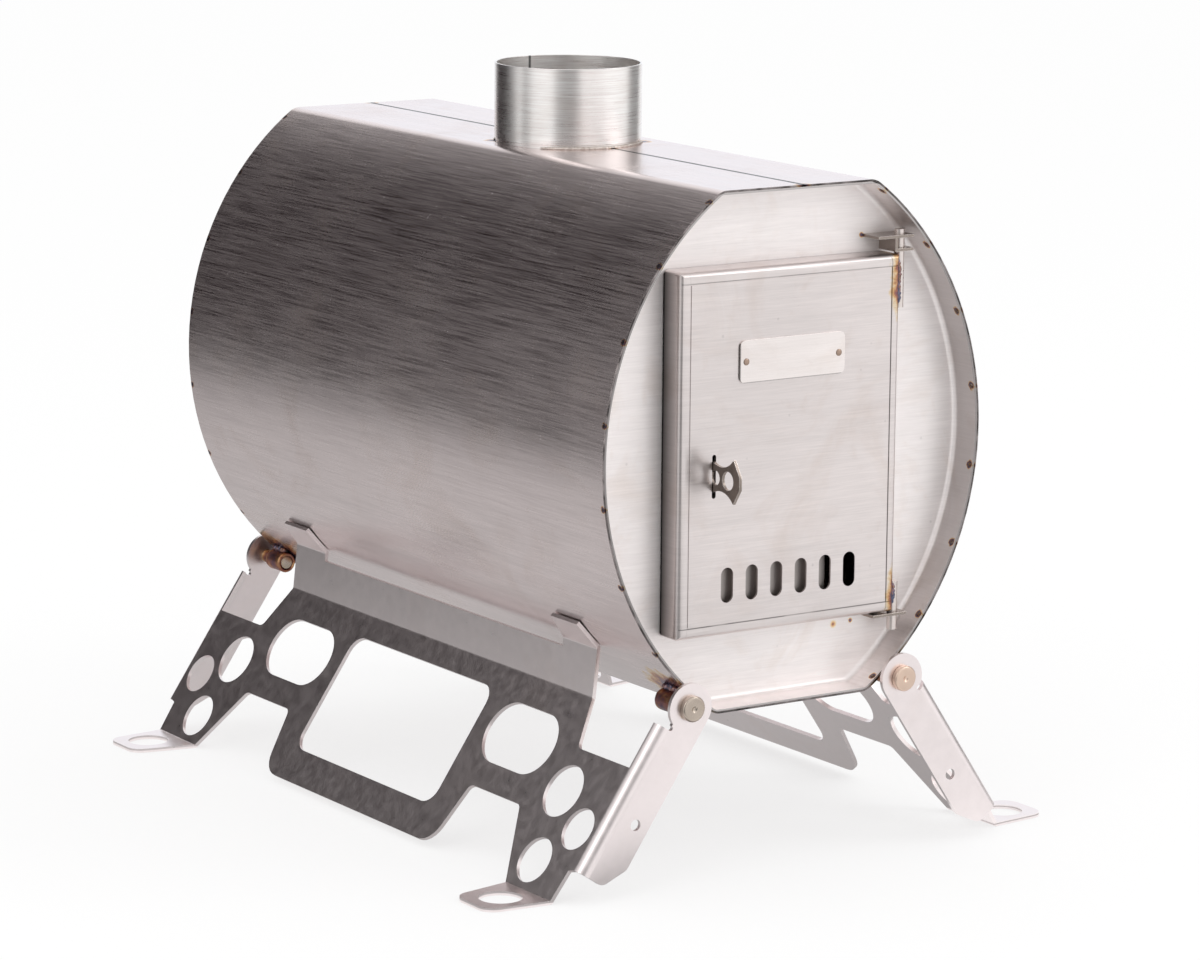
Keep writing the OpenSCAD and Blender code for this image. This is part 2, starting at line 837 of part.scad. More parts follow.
// End plate in s and n, where n points out through the panel. A rounded relief cut parts its ear
// from the fold, which begins at fold_start.
module end_plate_outline(fold_start) {
    fold_n = leg_offset - fold_radius;
    difference() {
        union() {
            circle(ear_radius);
            polygon(rounded([[0, -ear_radius, 0],
                             [plate_end - plate_cut_run, -ear_radius, plate_corner_radius],
                             [plate_end, plate_cut_rise - ear_radius, plate_corner_radius],
                             [plate_end, fold_n, 0], [0, fold_n, 0]]));
        }
        circle(pivot_radius + running);
        translate([lock_hole_s, -lock_hole_n]) circle(lock_hole_radius);
        translate([fold_start - relief_radius, fold_n]) {
            circle(relief_radius);
            translate([-relief_radius, 0]) square([2 * relief_radius, ear_radius]);
        }
    }
}

// Quarter bend between the panel and an end plate, drawn in u and n, with a land inside the end plate
module fold_section(ear) {
    inner = fold_radius - leg_sheet;
    translate([ear - fold_radius, leg_offset - fold_radius]) {
        intersection() {
            difference() {
                circle(fold_radius);
                circle(inner);
            }
            square(fold_radius);
        }
        translate([inner, -leg_sheet]) square([leg_sheet, leg_sheet]);
    }
}

// The same bend with a second land inside the panel
module joined_fold_section(ear) {
    fold_section(ear);
    translate([ear - fold_radius - leg_sheet, leg_offset - leg_sheet]) square([leg_sheet, leg_sheet]);
}

// Folded strip along u as seen from its end: turns and lengths of its legs from the panel's top edge
function strip_points(rises, turns) =
    let (start = [bend_s, leg_offset],
         steps = [for (i = [0 : len(rises) - 1]) rises[i] * [-cos(turns[i]), sin(turns[i])]])
    [for (i = [0 : len(rises)]) start + (i == 0 ? [0, 0] : i == 1 ? steps[0] : steps[0] + steps[1])];

// Normal that points from the strip to the body
function strip_normal(turn) = [-sin(turn), -cos(turn)];
function mitre(a, b) = leg_sheet * (strip_normal(a) + strip_normal(b)) / (1 + strip_normal(a) * strip_normal(b));

// The sections start inside the panel, so that each one is joined to it
strip_start = [[bend_s + leg_sheet, leg_offset - leg_sheet], [bend_s + leg_sheet, leg_offset]];

module flange_section() {
    p = strip_points([flange_rise], [flange_angle]);
    polygon(concat(strip_start, [p[0], p[1], p[1] + leg_sheet * strip_normal(flange_angle),
                                 p[0] + mitre(0, flange_angle)]));
}

module tab_section() {
    p = strip_points([flange_full, tab_rise], [flange_angle, tab_angle]);
    polygon(concat(strip_start, [p[0], p[1], p[2], p[2] + leg_sheet * strip_normal(tab_angle),
                                 p[1] + mitre(flange_angle, tab_angle), p[0] + mitre(0, flange_angle)]));
}

module foot_outline() {
    bend_x = leg_end_s * cos(leg_slope) + (leg_offset - leg_sheet) * sin(leg_slope);
    tip_x = bend_x + foot_length;
    difference() {
        polygon(rounded([[bend_x, ear_ref - foot_back_inset, 0],
                         [tip_x, ear_ref - foot_tip_back_inset, foot_tip_corner],
                         [tip_x, ear_ref - foot_tip_front_inset, foot_tip_corner],
                         [bend_x, ear_ref - foot_front_inset, 0]]));
        translate([bend_x + peg_hole_reach, ear_ref - peg_hole_place]) circle(d = peg_hole_diameter);
    }
}

module leg(ear, fold_start) {
    flange_half = ear_ref - flange_inset;
    translate([pivot_x, 0, pivot_z]) {
        rotate([0, leg_slope, 0]) {
            translate([0, 0, leg_offset - leg_sheet]) linear_extrude(leg_sheet) panel_outline(ear);
            rotate([90, 0, 0]) translate([0, 0, -flange_half]) linear_extrude(2 * flange_half) flange_section();
            both_ends() {
                tab(flange_half);
                along_x(fold_start, plate_end) fold_section(ear);
                along_x(notch_s, plate_end) joined_fold_section(ear);
                along_y(ear - leg_sheet, ear) end_plate_outline(fold_start);
            }
        }
        both_ends() translate([0, 0, -pivot_z]) linear_extrude(leg_sheet) foot_outline();
    }
}

// A tab hooks over the curved side; its two side edges taper upwards
module tab(flange_half) {
    difference() {
        along_y(flange_half - tab_width, flange_half) tab_section();
        for (end = [0, 1]) {
            translate([bend_s, end * (2 * flange_half - tab_width), leg_offset])
                mirror([0, end, 0]) tab_trim(flange_half);
        }
    }
}

// Wedge that trims the rear edge of a tab, measured from the panel's top edge
module tab_trim(flange_half) {
    bend_n = flange_full * sin(flange_angle);
    tip_n = bend_n + tab_rise * sin(tab_angle);
    reach = flange_full + tab_rise;
    translate([-reach - over, flange_half - tab_width, 0]) rotate([90, 0, 90]) linear_extrude(reach + 2 * over)
        polygon([[-over, bend_n], [0, bend_n], [tab_taper, tip_n + touch], [tab_taper, tip_n + over],
                 [-over, tip_n + over]]);
}

module left_leg() {
    color("dimgray") centred() mirror([1, 0, 0]) leg(left_ear, left_fold_start);
}

module right_leg() {
    color("dimgray") centred() leg(right_ear, right_fold_start);
}

shell();
front_pan();
rear_pan();
flue_collar();
collar_welds();
front_tacks();
rear_tacks();
left_pivot_bushes();
right_pivot_bushes();
bush_welds();
left_pivot_pins();
right_pivot_pins();
upper_hinge_lug();
lower_hinge_lug();
latch_keeper();
fire_grate();
flame_baffle();
door_panel();
upper_hinge_pin();
lower_hinge_pin();
hinge_pin_welds();
name_plate();
plate_rivets();
upper_damper_guide();
lower_damper_guide();
latch_bracket();
latch_pin();
air_damper();
latch_handle();
left_leg();
right_leg();
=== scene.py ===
"""Looks of a folding tent wood stove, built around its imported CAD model."""

import json
import math
import random

import bmesh
import bpy
from mathutils import Matrix, Vector, noise


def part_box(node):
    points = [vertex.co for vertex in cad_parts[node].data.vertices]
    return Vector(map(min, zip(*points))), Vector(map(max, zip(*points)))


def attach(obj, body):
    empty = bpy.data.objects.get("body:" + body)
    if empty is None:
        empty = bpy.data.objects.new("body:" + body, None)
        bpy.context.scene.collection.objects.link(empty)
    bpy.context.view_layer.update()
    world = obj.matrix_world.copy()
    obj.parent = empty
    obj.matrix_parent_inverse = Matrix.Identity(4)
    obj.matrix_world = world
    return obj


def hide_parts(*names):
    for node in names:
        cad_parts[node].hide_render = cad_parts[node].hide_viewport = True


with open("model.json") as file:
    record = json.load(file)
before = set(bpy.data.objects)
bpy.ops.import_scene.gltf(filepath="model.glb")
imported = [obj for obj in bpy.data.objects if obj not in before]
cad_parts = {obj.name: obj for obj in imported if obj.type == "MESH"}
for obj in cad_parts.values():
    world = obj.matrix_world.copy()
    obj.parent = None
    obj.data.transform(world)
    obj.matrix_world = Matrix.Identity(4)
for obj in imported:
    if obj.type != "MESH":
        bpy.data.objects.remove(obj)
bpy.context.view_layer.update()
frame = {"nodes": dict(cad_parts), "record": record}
nodes = frame["nodes"]
random.seed(7)
noise.seed_set(7)

MM = 0.001
BODY_OF = {node: body for body, names in frame["record"]["behaviour"]["bodies"].items() for node in names}


# Sizes that the pieces share, read from the frame

def middle(node):
    low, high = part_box(node)
    return (low + high) / 2


shell_low, shell_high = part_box("shell")
door_low, door_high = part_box("door_panel")
collar_low, collar_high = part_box("flue_collar")
STOVE_Y = middle("shell").y
BODY_Z = middle("shell").z
HALF_LENGTH = (shell_high.y - shell_low.y) / 2
HALF_HEIGHT = (shell_high.z - shell_low.z) / 2
HALF_WIDTH = (shell_high.x - shell_low.x) / 2
COLLAR_RADIUS = (collar_high.x - collar_low.x) / 2

# The shell's section: two flats joined by side arcs, whose middles lie past the stove's own middle
HALF_FLAT = 44.85 * MM
ARC_OFFSET = (HALF_FLAT ** 2 + HALF_HEIGHT ** 2 - HALF_WIDTH ** 2) / (2 * (HALF_WIDTH - HALF_FLAT))
SIDE_RADIUS = HALF_WIDTH + ARC_OFFSET
ARC_ANGLE = math.asin(HALF_HEIGHT / SIDE_RADIUS)

# The front pan's plate, the lap seam, and how far from the stove's middle the pieces at its ends lie
PLATE_Y = shell_low.y + 16 * MM
SEAM_X = 2.4 * MM
SEAM_END_OUT = 199 * MM
TACKS_OUT = 197.8 * MM
BUSH_OUT = 188 * MM
PIN_START_OUT = 181 * MM
BUSH_YS = [STOVE_Y + side * BUSH_OUT for side in (-1, 1)]

# Tack welds on each side arc, the outer ones 8 mm from its ends
TACKS_PER_SIDE = 8
TACK_TURN = ARC_ANGLE - 8 * MM / SIDE_RADIUS
TACK_STEP = 2 * TACK_TURN / (TACKS_PER_SIDE - 1)

# Radii of bends in thin sheet, and widths of broken edges
SHARP_BEND = 0.9 * MM
SHELL_BEND = 3.0 * MM
PAN_BEND_INSIDE = 3.0 * MM
PAN_BEND_OUTSIDE = 3.9 * MM
THIN_SHEET_EDGE = 0.14 * MM
NAME_PLATE_EDGE = 0.12 * MM

# Corners of a solid's faces that lie this close are one corner, and bent sheet needs more room for a bevel
JOIN_DISTANCE = 2e-6
BEVEL_ROOM = 0.05 * MM


# Node helpers

def feed(tree, made, sockets):
    """Links a node's inputs to other sockets, or sets their values."""
    for key, value in sockets.items():
        if isinstance(value, bpy.types.NodeSocket):
            tree.links.new(value, made.inputs[key])
        else:
            made.inputs[key].default_value = value


def add(tree, kind, sockets=None, **settings):
    made = tree.nodes.new("ShaderNode" + kind)
    for name, value in settings.items():
        setattr(made, name, value)
    feed(tree, made, sockets or {})
    return made


def calc(tree, operation, a, b=0.0, c=0.0):
    return add(tree, "Math", {0: a, 1: b, 2: c}, operation=operation).outputs[0]


def vector_calc(tree, operation, a, b=(0, 0, 0)):
    made = add(tree, "VectorMath", {0: a, 1: b}, operation=operation)
    return made.outputs["Value" if operation in ("LENGTH", "DOT_PRODUCT") else "Vector"]


def spread(tree, value, low, high, to_low=0.0, to_high=1.0, smooth=False):
    """Maps low to high onto to_low to to_high, and holds the end values outside them."""
    kind = "SMOOTHSTEP" if smooth else "LINEAR"
    return add(tree, "MapRange", {0: value, 1: low, 2: high, 3: to_low, 4: to_high},
               interpolation_type=kind, clamp=True).outputs[0]


def mixed(tree, share, a, b, mode="MIX"):
    made = add(tree, "Mix", {0: share, 6: a, 7: b}, data_type="RGBA", blend_type=mode)
    return made.outputs[2]


def cloud(tree, vector, scale, detail=3.0, rough=0.55, distortion=0.0):
    made = add(tree, "TexNoise", {"Vector": vector, "Scale": scale, "Detail": detail, "Roughness": rough,
                                  "Distortion": distortion})
    return made.outputs[0]


def ramp(tree, value, stops):
    stops = list(stops)
    made = add(tree, "ValToRGB", {0: value})
    bar = made.color_ramp
    while len(bar.elements) < len(stops):
        bar.elements.new(0.5)
    for element, (place, colour) in zip(bar.elements, stops):
        element.position = place
        element.color = (*colour, 1)
    return made.outputs[0]


def new_group(name, inputs, outputs):
    tree = bpy.data.node_groups.new(name, "ShaderNodeTree")
    for label, kind, value in inputs:
        socket = tree.interface.new_socket(name=label, in_out="INPUT", socket_type="NodeSocket" + kind)
        socket.default_value = value
    for label, kind in outputs:
        tree.interface.new_socket(name=label, in_out="OUTPUT", socket_type="NodeSocket" + kind)
    return tree, tree.nodes.new("NodeGroupInput").outputs, tree.nodes.new("NodeGroupOutput").inputs


def use(tree, group, sockets):
    made = add(tree, "Group")
    made.node_tree = group
    feed(tree, made, sockets)
    return made.outputs


def new_material(name):
    material = bpy.data.materials.new(name)
    material.use_nodes = True
    return material, material.node_tree


def object_place(tree):
    return add(tree, "TexCoord").outputs["Object"]


def place_parts(tree):
    return add(tree, "SeparateXYZ", {0: object_place(tree)}).outputs


def distance_from(tree, value, middle_value):
    return calc(tree, "ABSOLUTE", calc(tree, "SUBTRACT", value, middle_value))


def rim_depth(tree, parts):
    """Distance back from the nearer rim of the shell."""
    return calc(tree, "SUBTRACT", HALF_LENGTH, distance_from(tree, parts["Y"], STOVE_Y))


def facing_ends(tree, at_side, at_end):
    """One value on faces turned to the stove's front or rear, another on the rest."""
    facing = add(tree, "SeparateXYZ", {0: add(tree, "TexCoord").outputs["Normal"]}).outputs["Y"]
    return spread(tree, calc(tree, "ABSOLUTE", facing), 0.35, 0.6, at_side, at_end)


def frayed(tree, place, scale, rough, depth):
    """A cloud about zero that frays the edge of a burn mark."""
    flecks = cloud(tree, place, scale, 4.0, rough)
    return calc(tree, "MULTIPLY_ADD", flecks, depth, -depth / 2)


# Effects that several finishes share

def brushed_grain_group():
    """Brush lines, broader bands beside them and soft patches."""
    tree, given, out = new_group(
        "Brushed grain",
        [("Per metre", "Vector", (900, 5, 900)), ("Blotch", "Float", 9.0)],
        [("Streak", "Float"), ("Band", "Float"), ("Cloud", "Float")])
    place = object_place(tree)
    stretched = vector_calc(tree, "MULTIPLY", place, given["Per metre"])
    fine = cloud(tree, stretched, 1.0, 3.0, 0.6)
    broad = cloud(tree, stretched, 0.21, 3.0, 0.6)
    patches = cloud(tree, place, given["Blotch"], 4.0, 0.55, 0.6)
    tree.links.new(spread(tree, fine, 0.25, 0.75), out["Streak"])
    tree.links.new(spread(tree, broad, 0.25, 0.75), out["Band"])
    tree.links.new(spread(tree, patches, 0.3, 0.7), out["Cloud"])
    return tree


def heat_tint_group():
    """Colours of heated steel: straw, brown, purple, blue and black scale."""
    tree, given, out = new_group(
        "Heat tint", [("Heat", "Float", 0.0)], [("Tint", "Color"), ("Scale", "Float")])
    colour = ramp(tree, given["Heat"], [
        (0.0, (1.0, 1.0, 1.0)), (0.14, (1.0, 0.9, 0.68)), (0.3, (0.86, 0.58, 0.3)),
        (0.42, (0.5, 0.24, 0.17)), (0.56, (0.24, 0.15, 0.22)), (0.7, (0.15, 0.18, 0.3)),
        (0.84, (0.2, 0.19, 0.2)), (1.0, (0.07, 0.06, 0.06))])
    tree.links.new(colour, out["Tint"])
    tree.links.new(spread(tree, given["Heat"], 0.55, 1.0), out["Scale"])
    return tree


def heat_halo_group():
    """Heat round one weld, hottest in the middle."""
    tree, given, out = new_group(
        "Heat halo",
        [("Place", "Vector", (0, 0, 0)), ("Stretch", "Vector", (1, 1, 1)), ("Reach", "Float", 0.01),
         ("Peak", "Float", 1.0)],
        [("Heat", "Float")])
    place = object_place(tree)
    away = vector_calc(tree, "SUBTRACT", place, given["Place"])
    far = vector_calc(tree, "LENGTH", vector_calc(tree, "MULTIPLY", away, given["Stretch"]))
    share = calc(tree, "DIVIDE", far, given["Reach"])
    share = calc(tree, "ADD", share, frayed(tree, place, 190.0, 0.62, 0.9))
    heat = spread(tree, share, 0.1, 1.0, 1.0, 0.0)
    tree.links.new(calc(tree, "MULTIPLY", heat, given["Peak"]), out["Heat"])
    return tree


def tack_halo_group():
    """Burn marks at the rim, one for each tack weld on the side arcs."""
    tree, given, out = new_group(
        "Tack halo",
        [("Step", "Float", 0.2), ("Depth", "Float", 0.002), ("Reach", "Float", 0.002),
         ("Peak", "Float", 1.0)],
        [("Heat", "Float")])
    place = object_place(tree)
    parts = add(tree, "SeparateXYZ", {0: place}).outputs
    side = calc(tree, "ADD", calc(tree, "ABSOLUTE", parts["X"]), ARC_OFFSET)
    rise = calc(tree, "SUBTRACT", parts["Z"], BODY_Z)
    turn = calc(tree, "ARCTAN2", rise, side)
    steps = calc(tree, "DIVIDE", turn, given["Step"])
    off = calc(tree, "SUBTRACT", calc(tree, "FRACT", steps), 0.5)
    along = calc(tree, "MULTIPLY", calc(tree, "MULTIPLY", off, given["Step"]), SIDE_RADIUS)
    deep = calc(tree, "SUBTRACT", rim_depth(tree, parts), given["Depth"])
    squares = calc(tree, "ADD", calc(tree, "POWER", along, 2.0), calc(tree, "POWER", deep, 2.0))
    far = calc(tree, "SQRT", squares)
    share = calc(tree, "DIVIDE", far, given["Reach"])
    share = calc(tree, "ADD", share, frayed(tree, place, 420.0, 0.65, 1.2))
    heat = calc(tree, "MULTIPLY", spread(tree, share, 0.35, 1.0, 1.0, 0.0), given["Peak"])
    on_arc = calc(tree, "LESS_THAN", calc(tree, "ABSOLUTE", turn), ARC_ANGLE - 0.01)
    tree.links.new(calc(tree, "MULTIPLY", heat, on_arc), out["Heat"])
    return tree


def scuff_group():
    """Fine scratches in three directions and a few small spots."""
    tree, given, out = new_group(
        "Scuffs", [("Amount", "Float", 0.5)], [("Scratch", "Float"), ("Spot", "Float")])
    place = object_place(tree)
    lines = []
    for turn, stretch in ((0.5, (30, 900, 30)), (-0.9, (900, 40, 60)), (1.9, (60, 45, 1100))):
        bent = add(tree, "VectorRotate", {"Vector": place, "Angle": turn, "Axis": (0.3, 0.5, 0.8)}).outputs[0]
        line = cloud(tree, vector_calc(tree, "MULTIPLY", bent, stretch), 1.0, 1.0, 0.4)
        lines.append(spread(tree, line, 0.75, 0.8))
    scratch = calc(tree, "MAXIMUM", calc(tree, "MAXIMUM", lines[0], lines[1]), lines[2])
    spots = add(tree, "TexVoronoi", {"Vector": place, "Scale": 60.0}, feature="F1").outputs["Distance"]
    spot = spread(tree, spots, 0.03, 0.06, 1.0, 0.0)
    tree.links.new(calc(tree, "MULTIPLY", scratch, given["Amount"]), out["Scratch"])
    tree.links.new(calc(tree, "MULTIPLY", spot, given["Amount"]), out["Spot"])
    return tree


def stain_group():
    """Faint brownish clouds and fingerprints left by handling and heat."""
    tree, given, out = new_group("Stains", [("Amount", "Float", 0.2)], [("Tint", "Color"), ("Film", "Float")])
    place = object_place(tree)
    broad = spread(tree, cloud(tree, place, 17.0, 5.0, 0.6, 1.2), 0.52, 0.74)
    small = spread(tree, cloud(tree, place, 70.0, 4.0, 0.6, 0.6), 0.58, 0.76)
    clouds = calc(tree, "MAXIMUM", broad, calc(tree, "MULTIPLY", small, 0.6))
    film = calc(tree, "MULTIPLY", clouds, given["Amount"])
    tree.links.new(mixed(tree, film, (1, 1, 1, 1), (0.72, 0.6, 0.5, 1)), out["Tint"])
    tree.links.new(film, out["Film"])
    return tree


def worn_and_highlit_edge_group():
    """Edges made lighter, as rubbed wear and as a painted highlight: where the rounded normal leaves the
    face's own.
    """
    tree, given, out = new_group("Worn and highlit edge", [("Radius", "Float", 0.0005)], [("Edge", "Float")])
    eased = add(tree, "Bevel", {"Radius": given["Radius"]}, samples=4).outputs[0]
    own = add(tree, "NewGeometry").outputs["Normal"]
    turn = vector_calc(tree, "DOT_PRODUCT", eased, own)
    uneven = spread(tree, cloud(tree, object_place(tree), 240.0, 3.0), 0.35, 0.65, 0.35, 1.0)
    rounded = spread(tree, turn, 0.88, 0.995, 1.0, 0.0)
    tree.links.new(calc(tree, "MULTIPLY", rounded, uneven), out["Edge"])
    return tree


GRAIN = brushed_grain_group()
TINT = heat_tint_group()
HALO = heat_halo_group()
TACK_HALO = tack_halo_group()
SCUFFS = scuff_group()
STAINS = stain_group()
WORN_AND_HIGHLIT_EDGE = worn_and_highlit_edge_group()


# Finishes

EDGE_WEAR_AND_HIGHLIGHT_COLOUR = (0.93, 0.9, 0.87, 1)
EDGE_WEAR_AND_HIGHLIGHT_RADIUS = 0.45 * MM
GRAIN_RELIEF = 0.04 * MM
ROUGH_PLAY = 0.05


def steel(name, colour, rough, per_metre, brushed=0.0, across=None, streak=0.1, banding=0.5, clouds=0.06,
          bump=0.25, heat=(), tacks=None, blotch=9.0, scuffs=0.35, stains=0.2, worn=0.0, lines=None,
          play=1.0, scatter=None):
    """Brushed or plain sheet.

    `per_metre` is the grain's fineness along each axis, and `across` the direction that it spreads
    a highlight in. `streak`, `banding` and `clouds` set how far the colour varies, and `play` how far
    the clouds vary the roughness. `heat` holds burnt spots and `tacks` a row of them. `lines` darkens
    the colour in places, with real marks and with painted shade, and `scatter` gives the metal share.
    """
    material, tree = new_material(name)
    shader = tree.nodes["Principled BSDF"]
    grain = use(tree, GRAIN, {"Per metre": per_metre, "Blotch": blotch})
    marks = use(tree, SCUFFS, {"Amount": scuffs})
    soiled = use(tree, STAINS, {"Amount": stains})
    light = tuple(min(1.0, c * (1 + streak)) for c in colour)
    dark = tuple(c * (1 - streak) for c in colour)
    base = mixed(tree, grain["Streak"], (*dark, 1), (*light, 1))
    shade = spread(tree, grain["Band"], 0.0, 1.0, 1 - streak * banding, 1 + streak * banding)
    shade = calc(tree, "MULTIPLY", shade, spread(tree, grain["Cloud"], 0.0, 1.0, 1 - clouds, 1 + clouds))
    shade = calc(tree, "MULTIPLY", shade, spread(tree, marks["Spot"], 0.0, 1.0, 1.0, 0.6))
    if lines:
        shade = calc(tree, "MULTIPLY", shade, lines(tree))
    grey = add(tree, "CombineColor", {0: shade, 1: shade, 2: shade}).outputs[0]
    base = mixed(tree, 1.0, base, grey, "MULTIPLY")
    base = mixed(tree, 1.0, base, soiled["Tint"], "MULTIPLY")
    hot = None
    for place, stretch, reach, peak in heat:
        here = use(tree, HALO, {"Place": place, "Stretch": stretch, "Reach": reach, "Peak": peak})["Heat"]
        hot = here if hot is None else calc(tree, "MAXIMUM", hot, here)
    if tacks:
        here = use(tree, TACK_HALO, dict(zip(("Step", "Depth", "Reach", "Peak"), tacks)))["Heat"]
        hot = here if hot is None else calc(tree, "MAXIMUM", hot, here)
    roughness = spread(tree, grain["Streak"], 0.0, 1.0, rough - ROUGH_PLAY, rough + ROUGH_PLAY)
    patchy = spread(tree, grain["Cloud"], 0.0, 1.0, -0.03 * play, 0.03 * play)
    roughness = calc(tree, "ADD", roughness, patchy)
    roughness = calc(tree, "ADD", roughness, calc(tree, "MULTIPLY", marks["Scratch"], 0.1))
    roughness = calc(tree, "ADD", roughness, calc(tree, "MULTIPLY", soiled["Film"], 0.15))
    # Edges lighter: rubbed wear and a painted highlight where a rounded edge would catch light
    if worn:
        edge = calc(tree, "MULTIPLY", use(tree, WORN_AND_HIGHLIT_EDGE, {"Radius": EDGE_WEAR_AND_HIGHLIGHT_RADIUS})["Edge"], worn)
        base = mixed(tree, edge, base, EDGE_WEAR_AND_HIGHLIGHT_COLOUR)
        roughness = calc(tree, "SUBTRACT", roughness, calc(tree, "MULTIPLY", edge, 0.1))
    if hot is not None:
        burnt = use(tree, TINT, {"Heat": hot})
        base = mixed(tree, 1.0, base, burnt["Tint"], "MULTIPLY")
        roughness = calc(tree, "ADD", roughness, calc(tree, "MULTIPLY", burnt["Scale"], 0.2))
    tree.links.new(base, shader.inputs["Base Color"])
    tree.links.new(roughness, shader.inputs["Roughness"])
    shader.inputs["Metallic"].default_value = 1.0
    if scatter:
        tree.links.new(scatter(tree, grain["Streak"]), shader.inputs["Metallic"])
    height = calc(tree, "ADD", grain["Streak"], calc(tree, "MULTIPLY", marks["Scratch"], -0.8))
    lift = add(tree, "Bump", {"Height": height, "Strength": bump, "Distance": GRAIN_RELIEF})
    tree.links.new(lift.outputs[0], shader.inputs["Normal"])
    if across is not None:
        shader.inputs["Anisotropic"].default_value = brushed
        if across == "round":
            tangent = add(tree, "Tangent", direction_type="RADIAL", axis="Y").outputs[0]
        else:
            tangent = add(tree, "VectorTransform", {0: across}, vector_type="VECTOR",
                          convert_from="OBJECT", convert_to="WORLD").outputs[0]
        tree.links.new(tangent, shader.inputs["Tangent"])
    return material


def weld(name, colours, pitted=0.6):
    """Bare weld metal: pitted, scaled and tinted by its own heat."""
    material, tree = new_material(name)
    shader = tree.nodes["Principled BSDF"]
    place = object_place(tree)
    patch = cloud(tree, place, 260.0, 4.0, 0.6)
    colour = ramp(tree, patch, zip((0.3, 0.42, 0.5, 0.6, 0.75), colours))
    pits = cloud(tree, place, 1500.0, 3.0, 0.6)
    tree.links.new(colour, shader.inputs["Base Color"])
    tree.links.new(spread(tree, pits, 0.2, 0.8, 0.25, 0.6), shader.inputs["Roughness"])
    shader.inputs["Metallic"].default_value = 1.0
    lift = add(tree, "Bump", {"Height": pits, "Strength": pitted, "Distance": 0.0001})
    tree.links.new(lift.outputs[0], shader.inputs["Normal"])
    return material


def spot(place, reach, stretch=(1, 1, 1), peak=1.0):
    """One burnt spot. A stretch under 1 along an axis makes it longer that way."""
    return tuple(place), stretch, reach, peak


def line_mask(tree, value, at, width, depth):
    """1 beside a thin line, less on it."""
    return spread(tree, distance_from(tree, value, at), width * 0.4, width, 1 - depth, 1.0)


def scribed_lines_and_painted_flange_shade(tree):
    """The door's four scribed bend lines, worn away here and there, and its left flange in shade."""
    parts = place_parts(tree)
    inset, width = 5.6 * MM, 0.36 * MM
    masks = [line_mask(tree, parts["X"], door_low.x + inset, width, 0.08),
             line_mask(tree, parts["X"], door_high.x - inset, width, 0.45),
             line_mask(tree, parts["Z"], door_low.z + inset, width, 0.6),
             line_mask(tree, parts["Z"], door_high.z - inset, width, 0.5)]
    upright = calc(tree, "MINIMUM", masks[0], masks[1])
    level = calc(tree, "MINIMUM", masks[2], masks[3])
    both = calc(tree, "MINIMUM", upright, level)
    faint = spread(tree, cloud(tree, object_place(tree), 28.0, 2.0), 0.42, 0.62, 0.0, 0.7)
    front = spread(tree, parts["Y"], door_low.y, door_low.y + 1.2 * MM)
    lines = calc(tree, "MAXIMUM", calc(tree, "MAXIMUM", both, front), faint)
    # Painted shade: the left flange darker towards its back edge, and a painted shadow in the gap behind it
    flange = spread(tree, parts["Y"], door_low.y + 1.5 * MM, door_high.y - 1.2 * MM, 0.95, 0.15)
    painted_gap_shadow = spread(tree, parts["Y"], door_high.y - 1.3 * MM, door_high.y - 0.9 * MM, 1.0, 0.05)
    inward = spread(tree, parts["X"], door_low.x + 0.3 * MM, door_low.x + 0.9 * MM)
    shade = calc(tree, "MAXIMUM", calc(tree, "MULTIPLY", flange, painted_gap_shadow), inward)
    return calc(tree, "MULTIPLY", lines, shade)


def painted_seam_and_rim_shade(tree):
    """Painted shade: a dark line for the shade and dark reflection of the shell's lap seam step along its
    top, and uneven painted shade on its cut edges.
    """
    parts = place_parts(tree)
    # Painted shade: a dark line for the lap seam's step, only on the top
    line = spread(tree, distance_from(tree, parts["X"], SEAM_X), 1.0 * MM, 1.8 * MM, 0.1, 1.0)
    below = spread(tree, parts["Z"], shell_high.z - 3 * MM, shell_high.z - 2 * MM, 1.0, 0.0)
    seam = calc(tree, "MAXIMUM", line, below)
    # Painted shade on the cut edges that face the front and rear, uneven
    uneven_edge_shade = spread(tree, cloud(tree, object_place(tree), 130.0, 3.0), 0.35, 0.65, 0.07, 0.38)
    edge = calc(tree, "MAXIMUM", facing_ends(tree, 1.0, 0.0), uneven_edge_shade)
    return calc(tree, "MULTIPLY", seam, edge)


def pan_cut_edge_and_painted_flange_shade(tree):
    """The pan's own cut edge, a little darker, and painted shade on its side flanges."""
    parts = place_parts(tree)
    depth = rim_depth(tree, parts)
    cut = spread(tree, depth, 0.03 * MM, 0.07 * MM, 0.55, 1.0)
    # Painted shade: the side flanges darker, standing in for the dark side that they mirror
    side = spread(tree, calc(tree, "ABSOLUTE", parts["X"]), 50 * MM, 90 * MM, 1.0, 0.64)
    plate = spread(tree, depth, 12.5 * MM, 15 * MM)
    return calc(tree, "MULTIPLY", cut, calc(tree, "MAXIMUM", side, plate))


def shell_scatter(tree, streak):
    """The brush lines scatter a little light, which shows where the shell mirrors something dark."""
    return spread(tree, streak, 0.12, 0.6, 1.0, 0.935)


def plate_scatter(tree, streak):
    """All metal on the flange, a little plain scatter on the hand-finished plate."""
    return spread(tree, rim_depth(tree, place_parts(tree)), 13.5 * MM, 15.2 * MM, 1.0, 0.55)


def plate_outline(tree):
    """The name plate's lower and left edges lie in shade."""
    parts = place_parts(tree)
    low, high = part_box("name_plate")
    left = spread(tree, parts["X"], low.x + 0.3 * MM, low.x + 0.55 * MM, 0.35, 1.0)
    foot = spread(tree, parts["Z"], low.z + 0.3 * MM, low.z + 0.55 * MM, 0.45, 1.0)
    return calc(tree, "MINIMUM", left, foot)


def painted_leg_panel_shade(tree):
    """Painted shade: the side panels a little darker than the end plates."""
    return facing_ends(tree, 0.92, 1.0)


